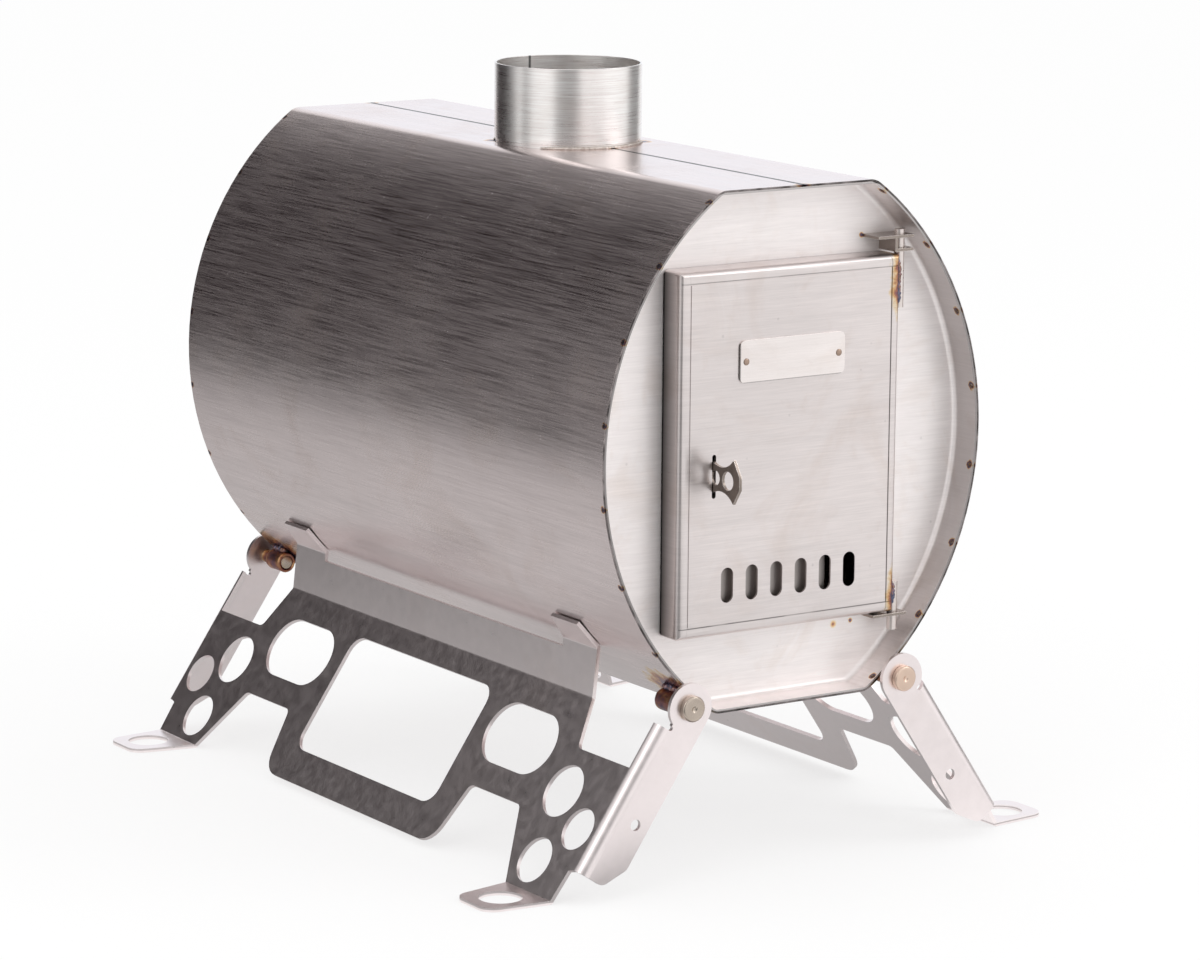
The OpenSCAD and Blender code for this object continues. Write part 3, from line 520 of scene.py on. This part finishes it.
def collar_seam(tree):
    """The collar's rolled seam at its rear, dark beside the slit."""
    parts = place_parts(tree)
    heart = middle("flue_collar")
    line = spread(tree, distance_from(tree, parts["X"], heart.x), 0.5 * MM, 0.9 * MM, 0.2, 1.0)
    front = spread(tree, parts["Y"], heart.y, heart.y + 1 * MM, 1.0, 0.0)
    return calc(tree, "MAXIMUM", line, front)


# Burnt places: beside the bushes, the collar's foot, the seam's ends, the lugs and the door's hinge pins

pivots = [middle("left_pivot_bushes"), middle("right_pivot_bushes")]
upper_lug, lower_lug = middle("upper_hinge_lug"), middle("lower_hinge_lug")
collar_foot = middle("flue_collar")
collar_ring = COLLAR_RADIUS + 1 * MM

bush_heat = [spot((pivot.x, y, pivot.z), 0.019, (1, 0.75, 1)) for pivot in pivots for y in BUSH_YS]
bush_burn = [spot((pivot.x, y, pivot.z), 0.016, (1, 0.8, 1), 0.66) for pivot in pivots for y in BUSH_YS]
pin_burn = [spot((pivot.x, y + side * 5 * MM, pivot.z), 0.0125, (0.8, 1, 0.8), 0.8)
            for pivot in pivots for side, y in zip((-1, 1), BUSH_YS)]
collar_heat = [spot((collar_foot.x + side * 0.83 * COLLAR_RADIUS,
                     collar_foot.y + side * -0.55 * COLLAR_RADIUS, shell_high.z), 0.006) for side in (-1, 1)]
seam_heat = [spot((SEAM_X, STOVE_Y + side * SEAM_END_OUT, shell_high.z), 0.0035, (0.7, 1, 1), 0.8)
             for side in (-1, 1)]
seam_heat += [spot((SEAM_X, collar_foot.y + side * collar_ring, shell_high.z), 0.0026, (1, 1, 1), 0.7)
              for side in (-1, 1)]
pan_heat = [spot((upper_lug.x - 11 * MM, PLATE_Y, upper_lug.z + 3.5 * MM), 0.0016, (1, 1, 1), 0.8),
            spot((lower_lug.x - 12 * MM, PLATE_Y, lower_lug.z), 0.0016, (1, 1, 1), 0.8),
            spot((35.7 * MM, PLATE_Y, 113.3 * MM), 0.0022, (1, 1, 1), 0.5),
            spot((46 * MM, PLATE_Y, 114 * MM), 0.0014, (1, 1, 1), 0.7)]
door_heat = [spot((door_high.x, door_low.y + 5 * MM, door_high.z - 14 * MM), 0.0105, (1.3, 1, 0.45)),
             spot((door_high.x, door_low.y + 5 * MM, door_low.z + 9 * MM), 0.0095, (1.3, 1, 0.5))]

# Directions that the grain spreads a highlight in
ROUND, UPRIGHT = "round", (0, 0, 1)

finishes = {
    "shell": steel("Body sheet brushed along its length", (0.84, 0.742, 0.735), 0.24, (1300, 26, 1300),
                   0.6, ROUND, streak=0.07, clouds=0.04, bump=0.05, scuffs=0.2, scatter=shell_scatter,
                   heat=bush_heat + collar_heat + seam_heat, tacks=(TACK_STEP, 0.0012, 0.0019, 1.0),
                   lines=painted_seam_and_rim_shade),
    "collar": steel("Collar brushed round", (0.92, 0.845, 0.825), 0.29, (55, 55, 1900), 0.5, UPRIGHT,
                    streak=0.19, banding=0.15, bump=0.15, worn=0.5, lines=collar_seam),
    "pan": steel("Pan sheet", (0.95, 0.893, 0.882), 0.45, (55, 55, 1300), 0.3, UPRIGHT, streak=0.06,
                 heat=pan_heat, tacks=(TACK_STEP, 0.0024, 0.0025, 0.9), stains=0.3, lines=pan_cut_edge_and_painted_flange_shade,
                 scatter=plate_scatter),
    "door": steel("Door sheet", (0.735, 0.677, 0.665), 0.34, (55, 55, 1500), 0.5, UPRIGHT, streak=0.065,
                  bump=0.12, heat=door_heat, lines=scribed_lines_and_painted_flange_shade, stains=0.25),
    "plate": steel("Name plate sheet", (0.86, 0.8, 0.78), 0.22, (70, 70, 1500), 0.5, UPRIGHT, streak=0.05,
                   worn=0.6, lines=plate_outline),
    "leg": steel("Leg sheet", (0.96, 0.876, 0.872), 0.32, (200, 200, 200), streak=0.02, clouds=0.02,
                 bump=0.05, worn=0.8, stains=0.1, blotch=14.0, play=0.1, lines=painted_leg_panel_shade),
    "latch": steel("Latch plate", (0.31, 0.26, 0.23), 0.3, (300, 300, 300), streak=0.05, worn=1.0),
    "turned": steel("Turned steel", (0.66, 0.6, 0.56), 0.28, (60, 60, 60), streak=0.06, heat=pin_burn),
    "left_pin": steel("Left pin steel", (0.55, 0.47, 0.4), 0.26, (90, 90, 90), streak=0.1, heat=pin_burn,
                      worn=0.6),
    "right_pin": steel("Right pin steel", (0.78, 0.6, 0.49), 0.3, (90, 90, 90), streak=0.06, heat=pin_burn,
                       worn=0.3),
    "bush": steel("Bush steel", (0.68, 0.6, 0.57), 0.33, (120, 60, 120), streak=0.12, heat=bush_burn,
                  bump=0.4),
    "dull": steel("Dull inner sheet", (0.42, 0.385, 0.37), 0.42, (500, 500, 12), streak=0.06),
    # The lug's dark base colour is painted dark reflection of its surroundings
    "lug": steel("Hinge lug sheet", (0.33, 0.28, 0.25), 0.24, (300, 300, 300), streak=0.08, worn=1.0),
    "hinge_pin": steel("Hinge pin steel", (0.75, 0.68, 0.65), 0.3, (200, 200, 200), streak=0.1, worn=0.5),
    "rivet": steel("Rivet steel", (0.42, 0.31, 0.25), 0.3, (200, 200, 200), streak=0.1),
    "bush_weld": weld("Bush weld metal", [(0.16, 0.13, 0.13), (0.34, 0.19, 0.14), (0.3, 0.2, 0.22),
                                          (0.1, 0.13, 0.22), (0.5, 0.42, 0.4)], 0.9),
    "pale_weld": weld("Pale weld metal", [(0.36, 0.33, 0.31), (0.6, 0.53, 0.48), (0.72, 0.66, 0.62),
                                          (0.55, 0.47, 0.42), (0.75, 0.7, 0.67)]),
    "tack": weld("Tack metal", [(0.1, 0.075, 0.06), (0.22, 0.13, 0.08), (0.1, 0.07, 0.06), (0.3, 0.24, 0.2),
                                (0.42, 0.38, 0.35)]),
}


# Mesh helpers

def fresh_mesh(node):
    """The node's solid as one joined mesh, with its flat faces made whole."""
    source = nodes[node].data
    bm = bmesh.new()
    corners = [bm.verts.new(v.co) for v in source.vertices]
    bm.verts.ensure_lookup_table()
    for face in source.polygons:
        try:
            bm.faces.new([corners[i] for i in face.vertices])
        except ValueError:
            # The same face twice
            pass
    bmesh.ops.remove_doubles(bm, verts=bm.verts, dist=JOIN_DISTANCE)
    bmesh.ops.dissolve_degenerate(bm, edges=bm.edges, dist=1e-7)
    bmesh.ops.dissolve_limit(bm, angle_limit=math.radians(0.3), verts=bm.verts, edges=bm.edges)
    return bm


def turn_of(edge):
    return edge.calc_face_angle(0.0)


def soften(bm, edges, width, segments=3):
    bmesh.ops.bevel(bm, geom=edges, offset=width, offset_type="OFFSET", segments=segments, profile=0.5,
                    affect="EDGES", clamp_overlap=True, loop_slide=True)


def sharp_edges(bm, angle=50):
    return [e for e in bm.edges if turn_of(e) > math.radians(angle)]


def long_bends(bm, shortest):
    """Edges along the stove where a sheet is bent, though not as far as a right angle."""
    found = []
    for edge in bm.edges:
        run = edge.verts[1].co - edge.verts[0].co
        straight = abs(run.y) > 0.999 * run.length
        if straight and run.length > shortest and math.radians(18) < turn_of(edge) < math.radians(62):
            found.append(edge)
    return found


def merge_near(bm):
    """Merges corners so close together that a bevel beside them would collapse."""
    bmesh.ops.remove_doubles(bm, verts=bm.verts, dist=BEVEL_ROOM)


def link(made):
    bpy.context.scene.collection.objects.link(made)
    return made


def even_normals(made):
    even = made.modifiers.new("Even normals", "WEIGHTED_NORMAL")
    even.weight = 80
    return even


def piece(name, bm, node, finish):
    """A piece that replaces a CAD node, on the same body."""
    mesh = bpy.data.meshes.new(name)
    bm.normal_update()
    bm.to_mesh(mesh)
    bm.free()
    for face in mesh.polygons:
        face.use_smooth = True
    made = link(bpy.data.objects.new(name, mesh))
    mesh.materials.append(finishes[finish])
    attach(made, BODY_OF[node])
    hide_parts(node)
    even_normals(made).keep_sharp = True


def ease_edges(node, width, finish):
    """Keeps a CAD node, breaks its sharp edges and gives it its finish."""
    kept = nodes[node]
    for place in kept.material_slots:
        place.link = "OBJECT"
        place.material = finishes[finish]
    join = kept.modifiers.new("Join faces", "WELD")
    join.merge_threshold = JOIN_DISTANCE
    broken = kept.modifiers.new("Broken edges", "BEVEL")
    broken.width = width
    broken.segments = 2
    broken.limit_method = "ANGLE"
    broken.angle_limit = math.radians(40)
    tidied = kept.modifiers.new("Join corners", "WELD")
    tidied.merge_threshold = JOIN_DISTANCE
    even_normals(kept)


# Firebox: the shell and the pans get their bend radii

def bent_shell():
    bm = fresh_mesh("shell")
    bends = [e for e in long_bends(bm, 300 * MM) if abs(abs(e.verts[0].co.x) - HALF_FLAT) < 2 * MM]
    soften(bm, bends, SHELL_BEND, 5)
    merge_near(bm)
    soften(bm, sharp_edges(bm), THIN_SHEET_EDGE, 2)
    piece("shell_sheet", bm, "shell", "shell")


def bent_pan(node, name, plate_y, out):
    """An end sheet with its flange bent back. The bend runs round both faces of the plate."""
    bm = fresh_mesh(node)
    soften(bm, long_bends(bm, 5 * MM), SHARP_BEND, 3)
    inner, outer = [], []
    for edge in bm.edges:
        if turn_of(edge) < math.radians(60):
            continue
        first = edge.verts[0].co
        ys = [v.co.y for v in edge.verts]
        rise = abs(first.z - BODY_Z)
        reach = max(abs(first.x) / HALF_WIDTH, rise / HALF_HEIGHT)
        on_arc = math.hypot(abs(first.x) + ARC_OFFSET, first.z - BODY_Z) > SIDE_RADIUS - 4 * MM
        rim = on_arc or rise > HALF_HEIGHT - 4 * MM
        if rim and reach > 0.5 and all(abs(y - plate_y) < 0.05 * MM for y in ys):
            inner.append(edge)
        if rim and all(abs(y - plate_y - out * MM) < 0.05 * MM for y in ys):
            outer.append(edge)
    soften(bm, inner, PAN_BEND_INSIDE, 5)
    soften(bm, [e for e in outer if e.is_valid], PAN_BEND_OUTSIDE, 5)
    merge_near(bm)
    soften(bm, sharp_edges(bm, 70), THIN_SHEET_EDGE, 2)
    piece(name, bm, node, "pan")


bent_shell()
bent_pan("front_pan", "front_pan_sheet", PLATE_Y, 1)
bent_pan("rear_pan", "rear_pan_sheet", 2 * STOVE_Y - PLATE_Y, -1)


# Legs

def bent_leg(node, name):
    """A leg with its bends rounded. The sheared edges of its sheet stay crisp."""
    bm = fresh_mesh(node)
    soften(bm, long_bends(bm, 10 * MM), SHARP_BEND, 3)
    merge_near(bm)
    for edge in sharp_edges(bm):
        edge.smooth = False
    piece(name, bm, node, "leg")


bent_leg("left_leg", "left_leg_sheet")
bent_leg("right_leg", "right_leg_sheet")


# Turned pins, welds and rivets

def lathe(bm, profile, centre, axis, steps=48):
    """Turned solid from (distance along the axis, radius) points. Both ends close on the axis."""
    axis = Vector(axis).normalized()
    side = axis.orthogonal().normalized()
    other = axis.cross(side)
    rings = []
    for along, radius in profile:
        heart = Vector(centre) + axis * along
        if radius < 1e-9:
            rings.append([bm.verts.new(heart)])
            continue
        ring = []
        for i in range(steps):
            turn = 2 * math.pi * i / steps
            ring.append(bm.verts.new(heart + radius * (side * math.cos(turn) + other * math.sin(turn))))
        rings.append(ring)
    for first, second in zip(rings, rings[1:]):
        for i in range(steps):
            j = (i + 1) % steps
            if len(first) == 1:
                bm.faces.new([first[0], second[j], second[i]])
            elif len(second) == 1:
                bm.faces.new([first[i], first[j], second[0]])
            else:
                bm.faces.new([first[i], first[j], second[j], second[i]])


def pivot_pins(node, name, finish):
    """Two headed pins, each with a chamfered head and a centre mark from turning."""
    low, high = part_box(node)
    centre = middle(node)
    bm = bmesh.new()
    rod, head, cap = 3.5 * MM, 6.3 * MM, 3.0 * MM
    for side, end in ((-1, low.y), (1, high.y)):
        foot = STOVE_Y + side * PIN_START_OUT
        length = abs(end - foot)
        profile = [(0, 0), (0, rod - 0.4 * MM), (0.4 * MM, rod), (length - cap, rod),
                   (length - cap, head - 0.3 * MM), (length - cap + 0.3 * MM, head),
                   (length - 0.7 * MM, head), (length - 0.2 * MM, head - 0.5 * MM),
                   (length - 0.04 * MM, head - 0.9 * MM), (length, head - 1.6 * MM)]
        mark = [(length, 2.0 * MM), (length - 0.06 * MM, 1.5 * MM), (length - 0.35 * MM, 1.2 * MM),
                (length - 0.75 * MM, 0.5 * MM), (length - 0.8 * MM, 0)]
        lathe(bm, profile + mark, (centre.x, foot, centre.z), (0, side, 0), 56)
    piece(name, bm, node, finish)


def pivot_bushes(node, name):
    """Two tubes with eased ends, their skin melted uneven by the welds beside them."""
    low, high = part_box(node)
    centre = middle(node)
    bm = bmesh.new()
    bore, skin, ease, length, steps = 3.56 * MM, 5.5 * MM, 0.5 * MM, 14 * MM, 56
    for start in (low.y, high.y - length):
        profile = [(0, bore), (0, skin - ease), (ease, skin)]
        profile += [(ease + (length - 2 * ease) * i / 14, skin) for i in range(1, 14)]
        profile += [(length - ease, skin), (length, skin - ease), (length, bore)]
        rings = []
        for along, radius in profile:
            ring = []
            for i in range(steps):
                turn = 2 * math.pi * i / steps
                point = Vector((centre.x + radius * math.cos(turn), start + along,
                                centre.z + radius * math.sin(turn)))
                if radius > bore * 1.1:
                    out = Vector((math.cos(turn), 0, math.sin(turn)))
                    dent = 0.5 + 0.5 * noise.noise(point * 420) + 0.25 * noise.noise(point * 1300)
                    point -= out * 0.3 * MM * max(0.0, min(1.0, dent))
                ring.append(bm.verts.new(point))
            rings.append(ring)
        for first, second in zip(rings, rings[1:] + rings[:1]):
            for i in range(steps):
                j = (i + 1) % steps
                bm.faces.new([first[i], second[i], second[j], first[j]])
    bmesh.ops.recalc_face_normals(bm, faces=bm.faces)
    piece(name, bm, node, "bush")


def rivet_pair():
    """Two rivets with domed heads in front and plain heads behind."""
    low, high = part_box("plate_rivets")
    bm = bmesh.new()
    shank, head, rise = 1.0 * MM, 1.7 * MM, 0.5 * MM
    half = (high.y - low.y) / 2
    dome = [(rise * math.sin(a), head * math.cos(a)) for a in (0.35, 0.7, 1.05, 1.35)]
    profile = [(-half, 0), (-half, head * 0.7), (-half + rise * 0.6, head), (-half + rise, head),
               (-half + rise, shank), (half - rise, shank), (half - rise, head)]
    profile += [(half - rise + along, radius) for along, radius in dome] + [(half, 0)]
    for x in (low.x + head, high.x - head):
        lathe(bm, profile, (x, (low.y + high.y) / 2, middle("plate_rivets").z), (0, -1, 0), 28)
    piece("plate_rivet_heads", bm, "plate_rivets", "rivet")


def bead(bm, path, radius, pitch, flat=(0, 0, 1), ring=10, rough=0.16):
    """Weld bead along a path: overlapping ripples with uneven width and closed, rounded ends.

    `flat` is the direction that stands off the sheet, and `pitch` the length of a ripple.
    """
    count = len(path)
    rings = []
    run = 0.0
    for i, point in enumerate(path):
        ahead = path[min(i + 1, count - 1)] - path[max(i - 1, 0)]
        ahead.normalize()
        if i:
            run += (point - path[i - 1]).length
        side = ahead.cross(Vector(flat)).normalized()
        up = side.cross(ahead)
        share = i / (count - 1)
        ends = math.sqrt(max(0.02, 1 - abs(2 * share - 1) ** 6))
        ripple = 0.82 + 0.18 * abs(math.sin(math.pi * run / pitch))
        loop = []
        for k in range(ring):
            turn = 2 * math.pi * k / ring
            out = side * math.cos(turn) + up * math.sin(turn)
            uneven = 1 + rough * noise.noise((point + out * radius) * 900)
            loop.append(bm.verts.new(point + out * radius * ends * ripple * uneven))
        rings.append(loop)
    for first, second in zip(rings, rings[1:]):
        for k in range(ring):
            n = (k + 1) % ring
            bm.faces.new([first[k], first[n], second[n], second[k]])
    bm.faces.new(list(reversed(rings[0])))
    bm.faces.new(rings[-1])


def collar_beads():
    """Two beads round the collar's foot, each 110 degrees long, behind it and in front."""
    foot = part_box("collar_welds")[0].z
    centre = middle("flue_collar")
    bm = bmesh.new()
    radius = COLLAR_RADIUS + 0.25 * MM
    for end in (90, -90):
        path = []
        for i in range(111):
            turn = math.radians(end - 55 + i)
            path.append(Vector((centre.x + radius * math.cos(turn), centre.y + radius * math.sin(turn),
                                foot + 0.45 * MM)))
        bead(bm, path, 0.85 * MM, 1.6 * MM)
    piece("collar_weld_beads", bm, "collar_welds", "pale_weld")


def bush_beads():
    """A bead on each side of each bush, where it meets the shell."""
    bm = bmesh.new()
    for node, sign in (("left_pivot_bushes", -1), ("right_pivot_bushes", 1)):
        pivot = middle(node)
        out = Vector((abs(pivot.x) + ARC_OFFSET, 0, pivot.z - BODY_Z)).normalized()
        out.x *= sign
        along = Vector((out.z, 0, -out.x))
        for y in BUSH_YS:
            for side in (-1, 1):
                base = Vector((pivot.x, y, pivot.z)) - out * 4.6 * MM + along * side * 4.7 * MM
                path = []
                for i in range(41):
                    sway = along * 0.3 * MM * noise.noise(Vector((i * 0.3, side, y)))
                    path.append(base + Vector((0, (i / 40 - 0.5) * 12.8 * MM, 0)) + sway)
                bead(bm, path, 1.75 * MM, 2.2 * MM, flat=out, ring=14, rough=0.5)
    piece("bush_weld_beads", bm, "bush_welds", "bush_weld")


def hinge_beads():
    """A bead in front of each hinge pin and one behind it, along the door's edge."""
    low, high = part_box("hinge_pin_welds")
    bm = bmesh.new()
    pin = middle("upper_hinge_pin")
    count = 50
    for start, end in ((high.z - 22 * MM, high.z - 0.8 * MM), (low.z + 0.8 * MM, low.z + 11 * MM)):
        for side in (-1, 1):
            path = []
            for i in range(count + 1):
                sway = 1.0 + 0.35 * noise.noise(Vector((i * 0.21, side, start * 50)))
                path.append(Vector((door_high.x + sway * MM, pin.y + side * 2.1 * MM,
                                    start + (end - start) * i / count)))
            bead(bm, path, 1.25 * MM, 1.9 * MM, flat=(1, 0, 0), ring=14, rough=0.5)
    piece("hinge_weld_beads", bm, "hinge_pin_welds", "bush_weld")


def tack_spots(node, name, sign):
    """Small burnt-in domes on the inside of a pan's flange, along both side arcs."""
    bm = bmesh.new()
    reach = SIDE_RADIUS - 2.02 * MM
    y = STOVE_Y + sign * TACKS_OUT
    for mirror in (-1, 1):
        for i in range(TACKS_PER_SIDE):
            turn = TACK_TURN * (2 * i / (TACKS_PER_SIDE - 1) - 1)
            out = Vector((math.cos(turn), 0, math.sin(turn)))
            heart = Vector((reach * out.x - ARC_OFFSET, y, BODY_Z + reach * out.z))
            heart.x *= mirror
            out.x *= mirror
            size = 1.25 * MM * (0.85 + 0.3 * random.random())
            profile = [(0.05 * MM, 0), (0.05 * MM, size), (-0.2 * MM, size * 0.92), (-0.38 * MM, size * 0.6),
                       (-0.34 * MM, size * 0.3), (-0.28 * MM, 0)]
            lathe(bm, profile, heart, out, 20)
    for vertex in bm.verts:
        vertex.co += 0.12 * MM * noise.noise_vector(vertex.co * 700)
    bmesh.ops.recalc_face_normals(bm, faces=bm.faces)
    piece(name, bm, node, "tack")


def bare_plate():
    bm = fresh_mesh("name_plate")
    soften(bm, sharp_edges(bm), NAME_PLATE_EDGE, 2)
    piece("name_plate_sheet", bm, "name_plate", "plate")


bare_plate()
pivot_bushes("left_pivot_bushes", "left_bush_tubes")
pivot_bushes("right_pivot_bushes", "right_bush_tubes")
pivot_pins("left_pivot_pins", "left_headed_pins", "left_pin")
pivot_pins("right_pivot_pins", "right_headed_pins", "right_pin")
rivet_pair()
collar_beads()
bush_beads()
hinge_beads()
tack_spots("front_tacks", "front_tack_spots", -1)
tack_spots("rear_tacks", "rear_tack_spots", 1)


# CAD nodes that stay, with the width in millimetres of their broken edges

for kept_node, edge_width, kept_finish in (
        ("flue_collar", 0.18, "collar"), ("upper_hinge_lug", 0.2, "lug"), ("lower_hinge_lug", 0.2, "lug"),
        ("latch_keeper", 0.2, "dull"), ("fire_grate", 0.2, "dull"), ("flame_baffle", 0.2, "dull"),
        ("door_panel", 0.1, "door"), ("upper_hinge_pin", 0.3, "hinge_pin"),
        ("lower_hinge_pin", 0.3, "hinge_pin"), ("upper_damper_guide", 0.15, "dull"),
        ("lower_damper_guide", 0.15, "dull"),
        ("latch_bracket", 0.12, "dull"), ("latch_pin", 0.2, "turned"), ("air_damper", 0.12, "dull"),
        ("latch_handle", 0.2, "latch")):
    ease_edges(kept_node, edge_width * MM, kept_finish)


# Stage: floor, studio cards, lamps, world and camera

def stage_plane(name, width, height, place, face_to, material):
    mesh = bpy.data.meshes.new(name)
    w, h = width / 2, height / 2
    mesh.from_pydata([(-w, -h, 0), (w, -h, 0), (w, h, 0), (-w, h, 0)], [], [(0, 1, 2, 3)])
    plane = link(bpy.data.objects.new(name, mesh))
    towards = Vector(face_to) - Vector(place)
    plane.rotation_mode = "QUATERNION"
    plane.rotation_quaternion = towards.to_track_quat("Z", "Y")
    plane.location = place
    mesh.materials.append(material)
    return plane


def floor_material():
    """Pale floor with some light of its own, so that the stove's shadow on it stays soft."""
    material, tree = new_material("Pale floor")
    shader = tree.nodes["Principled BSDF"]
    shader.inputs["Base Color"].default_value = (0.3, 0.3, 0.3, 1)
    shader.inputs["Roughness"].default_value = 0.9
    shader.inputs["Specular IOR Level"].default_value = 0.0
    shader.inputs["Emission Color"].default_value = (1, 1, 1, 1)
    shader.inputs["Emission Strength"].default_value = 0.7
    material.cycles.emission_sampling = "NONE"
    return material


def card_material(name, levels, width, height, side_edge, end_edge, tone=(1, 1, 1)):
    """A card that only reflections see: graded from its lower or near end on, white at its faded edges."""
    material, tree = new_material(name)
    tree.nodes.clear()
    parts = place_parts(tree)
    across = calc(tree, "ABSOLUTE", parts["X"])
    away = calc(tree, "ABSOLUTE", parts["Y"])
    side_fade = spread(tree, across, width / 2 - side_edge, width / 2, smooth=True)
    end_fade = spread(tree, away, height / 2 - end_edge, height / 2, smooth=True)
    fade = calc(tree, "MAXIMUM", side_fade, end_fade)
    along = spread(tree, parts["Y"], -height / 2, height / 2)
    own = ramp(tree, along, [(place, tuple(level * t for t in tone)) for place, level in levels])
    colour = mixed(tree, fade, own, (1, 1, 1, 1))
    glow = add(tree, "Emission", {"Color": colour, "Strength": 1.0}).outputs[0]
    add(tree, "OutputMaterial", {"Surface": glow})
    material.cycles.emission_sampling = "NONE"
    return material


def hide_card(made):
    made.visible_camera = False
    made.visible_diffuse = False
    made.visible_shadow = False
    made.visible_transmission = False


def standing_card(name, levels, width, height, azimuth, distance, z, side_edge, end_edge, tone=(1, 1, 1)):
    """A card that faces the stove, in metres. Azimuth 0 is behind it and grows towards its left."""
    turn = math.radians(azimuth)
    place = (-distance * math.sin(turn), distance * math.cos(turn), z)
    paint = card_material(name, levels, width, height, side_edge, end_edge, tone)
    hide_card(stage_plane(name, width, height, place, (0, 0, z), paint))


def floor_card(name, levels, width, start, length, azimuth, rise, side_edge, end_edge):
    """A card on the floor, from a distance outwards, in metres."""
    turn = math.radians(azimuth)
    distance = start + length / 2
    place = Vector((-distance * math.sin(turn), distance * math.cos(turn), rise))
    paint = card_material(name, levels, width, length, side_edge, end_edge)
    made = stage_plane(name, width, length, place, place + Vector((0, 0, 1)), paint)
    made.rotation_mode = "XYZ"
    made.rotation_euler = (0, 0, turn)
    hide_card(made)


FLOOR_SIZE = 40
JUST_BELOW = -0.0002
stage_plane("floor", FLOOR_SIZE, FLOOR_SIZE, (0, 0, JUST_BELOW), (0, 0, 1), floor_material())

# Each card: (place, brightness) steps, width and height, azimuth, distance, middle height, faded edges, tone
standing_card("left_flag", [(0, 0.02), (1, 0.02)], 5.0, 4.5, 22, 2.0, 0.75, 2.3, 0.9, (1.16, 0.93, 1.0))
standing_card("back_card", [(0, 1.0), (1, 1.0)], 1.8, 1.6, -33, 1.7, 0.5, 0.6, 0.6, (1.0, 1.04, 1.1))
standing_card("side_flag", [(0, 0.4), (1, 0.4)], 0.6, 1.6, 78, 1.15, 0.3, 0.28, 0.3)
standing_card("camera_card", [(0.45, 0.25), (0.62, 0.36)], 0.9, 1.6, 145, 0.95, 0.2, 0.25, 0.3)
standing_card("right_card", [(0, 0.25), (1, 0.25)], 1.2, 1.6, 272, 1.3, 0.3, 0.35, 0.3)

# Each floor card: steps, width, start, length, azimuth, height over the floor, faded edges
floor_card("left_floor_card",
           [(0.0, 0.35), (0.15, 0.49), (0.2, 0.55), (0.26, 0.52), (0.37, 0.49), (0.6, 0.24), (0.75, 0.11),
            (0.95, 0.09)], 3.0, -0.3, 2.3, 22, 0.001, 0.8, 0.05)
floor_card("camera_floor_card", [(0, 0.35), (1, 0.25)], 0.7, 0.25, 0.75, 146, 0.002, 0.2, 0.15)
floor_card("front_floor_card", [(0, 0.95), (0.14, 0.79), (0.5, 0.89), (0.8, 1.15), (1, 1.2)],
           1.3, 0.2, 1.5, 214, 0.0015, 0.3, 0.1)


def area_lamp(name, size, energy, place):
    """A square soft box aimed at the stove's middle."""
    data = bpy.data.lights.new(name, "AREA")
    data.shape = "SQUARE"
    data.size = size
    data.energy = energy
    lamp = link(bpy.data.objects.new(name, data))
    lamp.location = place
    lamp.rotation_mode = "QUATERNION"
    aim = Vector((0, 0, 0.15)) - Vector(place)
    lamp.rotation_quaternion = aim.to_track_quat("-Z", "Y")


area_lamp("right_soft_box", 1.1, 7, (1.5, -1.5, 1.5))
area_lamp("left_soft_box", 1.0, 4, (-1.6, -0.9, 1.3))


def white_studio():
    """White where the camera or a reflection sees it, a little less as light on the stove."""
    world = bpy.data.worlds.new("Studio")
    bpy.context.scene.world = world
    world.use_nodes = True
    sky = world.node_tree
    rays = add(sky, "LightPath").outputs
    mirrored = calc(sky, "MAXIMUM", rays["Is Glossy Ray"], rays["Is Transmission Ray"])
    seen = calc(sky, "MAXIMUM", rays["Is Camera Ray"], mirrored)
    background = sky.nodes["Background"]
    background.inputs["Color"].default_value = (1, 1, 1, 1)
    sky.links.new(spread(sky, seen, 0.0, 1.0, 0.95, 1.0), background.inputs["Strength"])


white_studio()

IMAGE_WIDTH = 1200
SENSOR_WIDTH = 36
FOCAL_PIXELS = 4599.86


def camera_at_photo():
    """The camera of the photo, as fitted to the stove's rim, door, legs and collar."""
    azimuth, elevation, roll = math.radians(-33.51), math.radians(10.99), math.radians(0.48)
    distance = 2343.95 * MM
    target = Vector((7.60, -14.94, 160.15)) * MM
    back = Vector((math.sin(azimuth) * math.cos(elevation), -math.cos(azimuth) * math.cos(elevation),
                   math.sin(elevation)))
    level_right = Vector((math.cos(azimuth), math.sin(azimuth), 0))
    level_up = back.cross(level_right)
    right = math.cos(roll) * level_right + math.sin(roll) * level_up
    up = -math.sin(roll) * level_right + math.cos(roll) * level_up
    data = bpy.data.cameras.new("Photo camera")
    data.sensor_width = SENSOR_WIDTH
    data.sensor_fit = "HORIZONTAL"
    data.lens = SENSOR_WIDTH * FOCAL_PIXELS / IMAGE_WIDTH
    data.clip_end = 100
    camera = link(bpy.data.objects.new("Photo camera", data))
    place = Matrix((right, up, back)).transposed().to_4x4()
    place.translation = target + back * distance
    camera.matrix_world = place
    bpy.context.scene.camera = camera


camera_at_photo()
bpy.context.scene.view_settings.view_transform = "Standard"
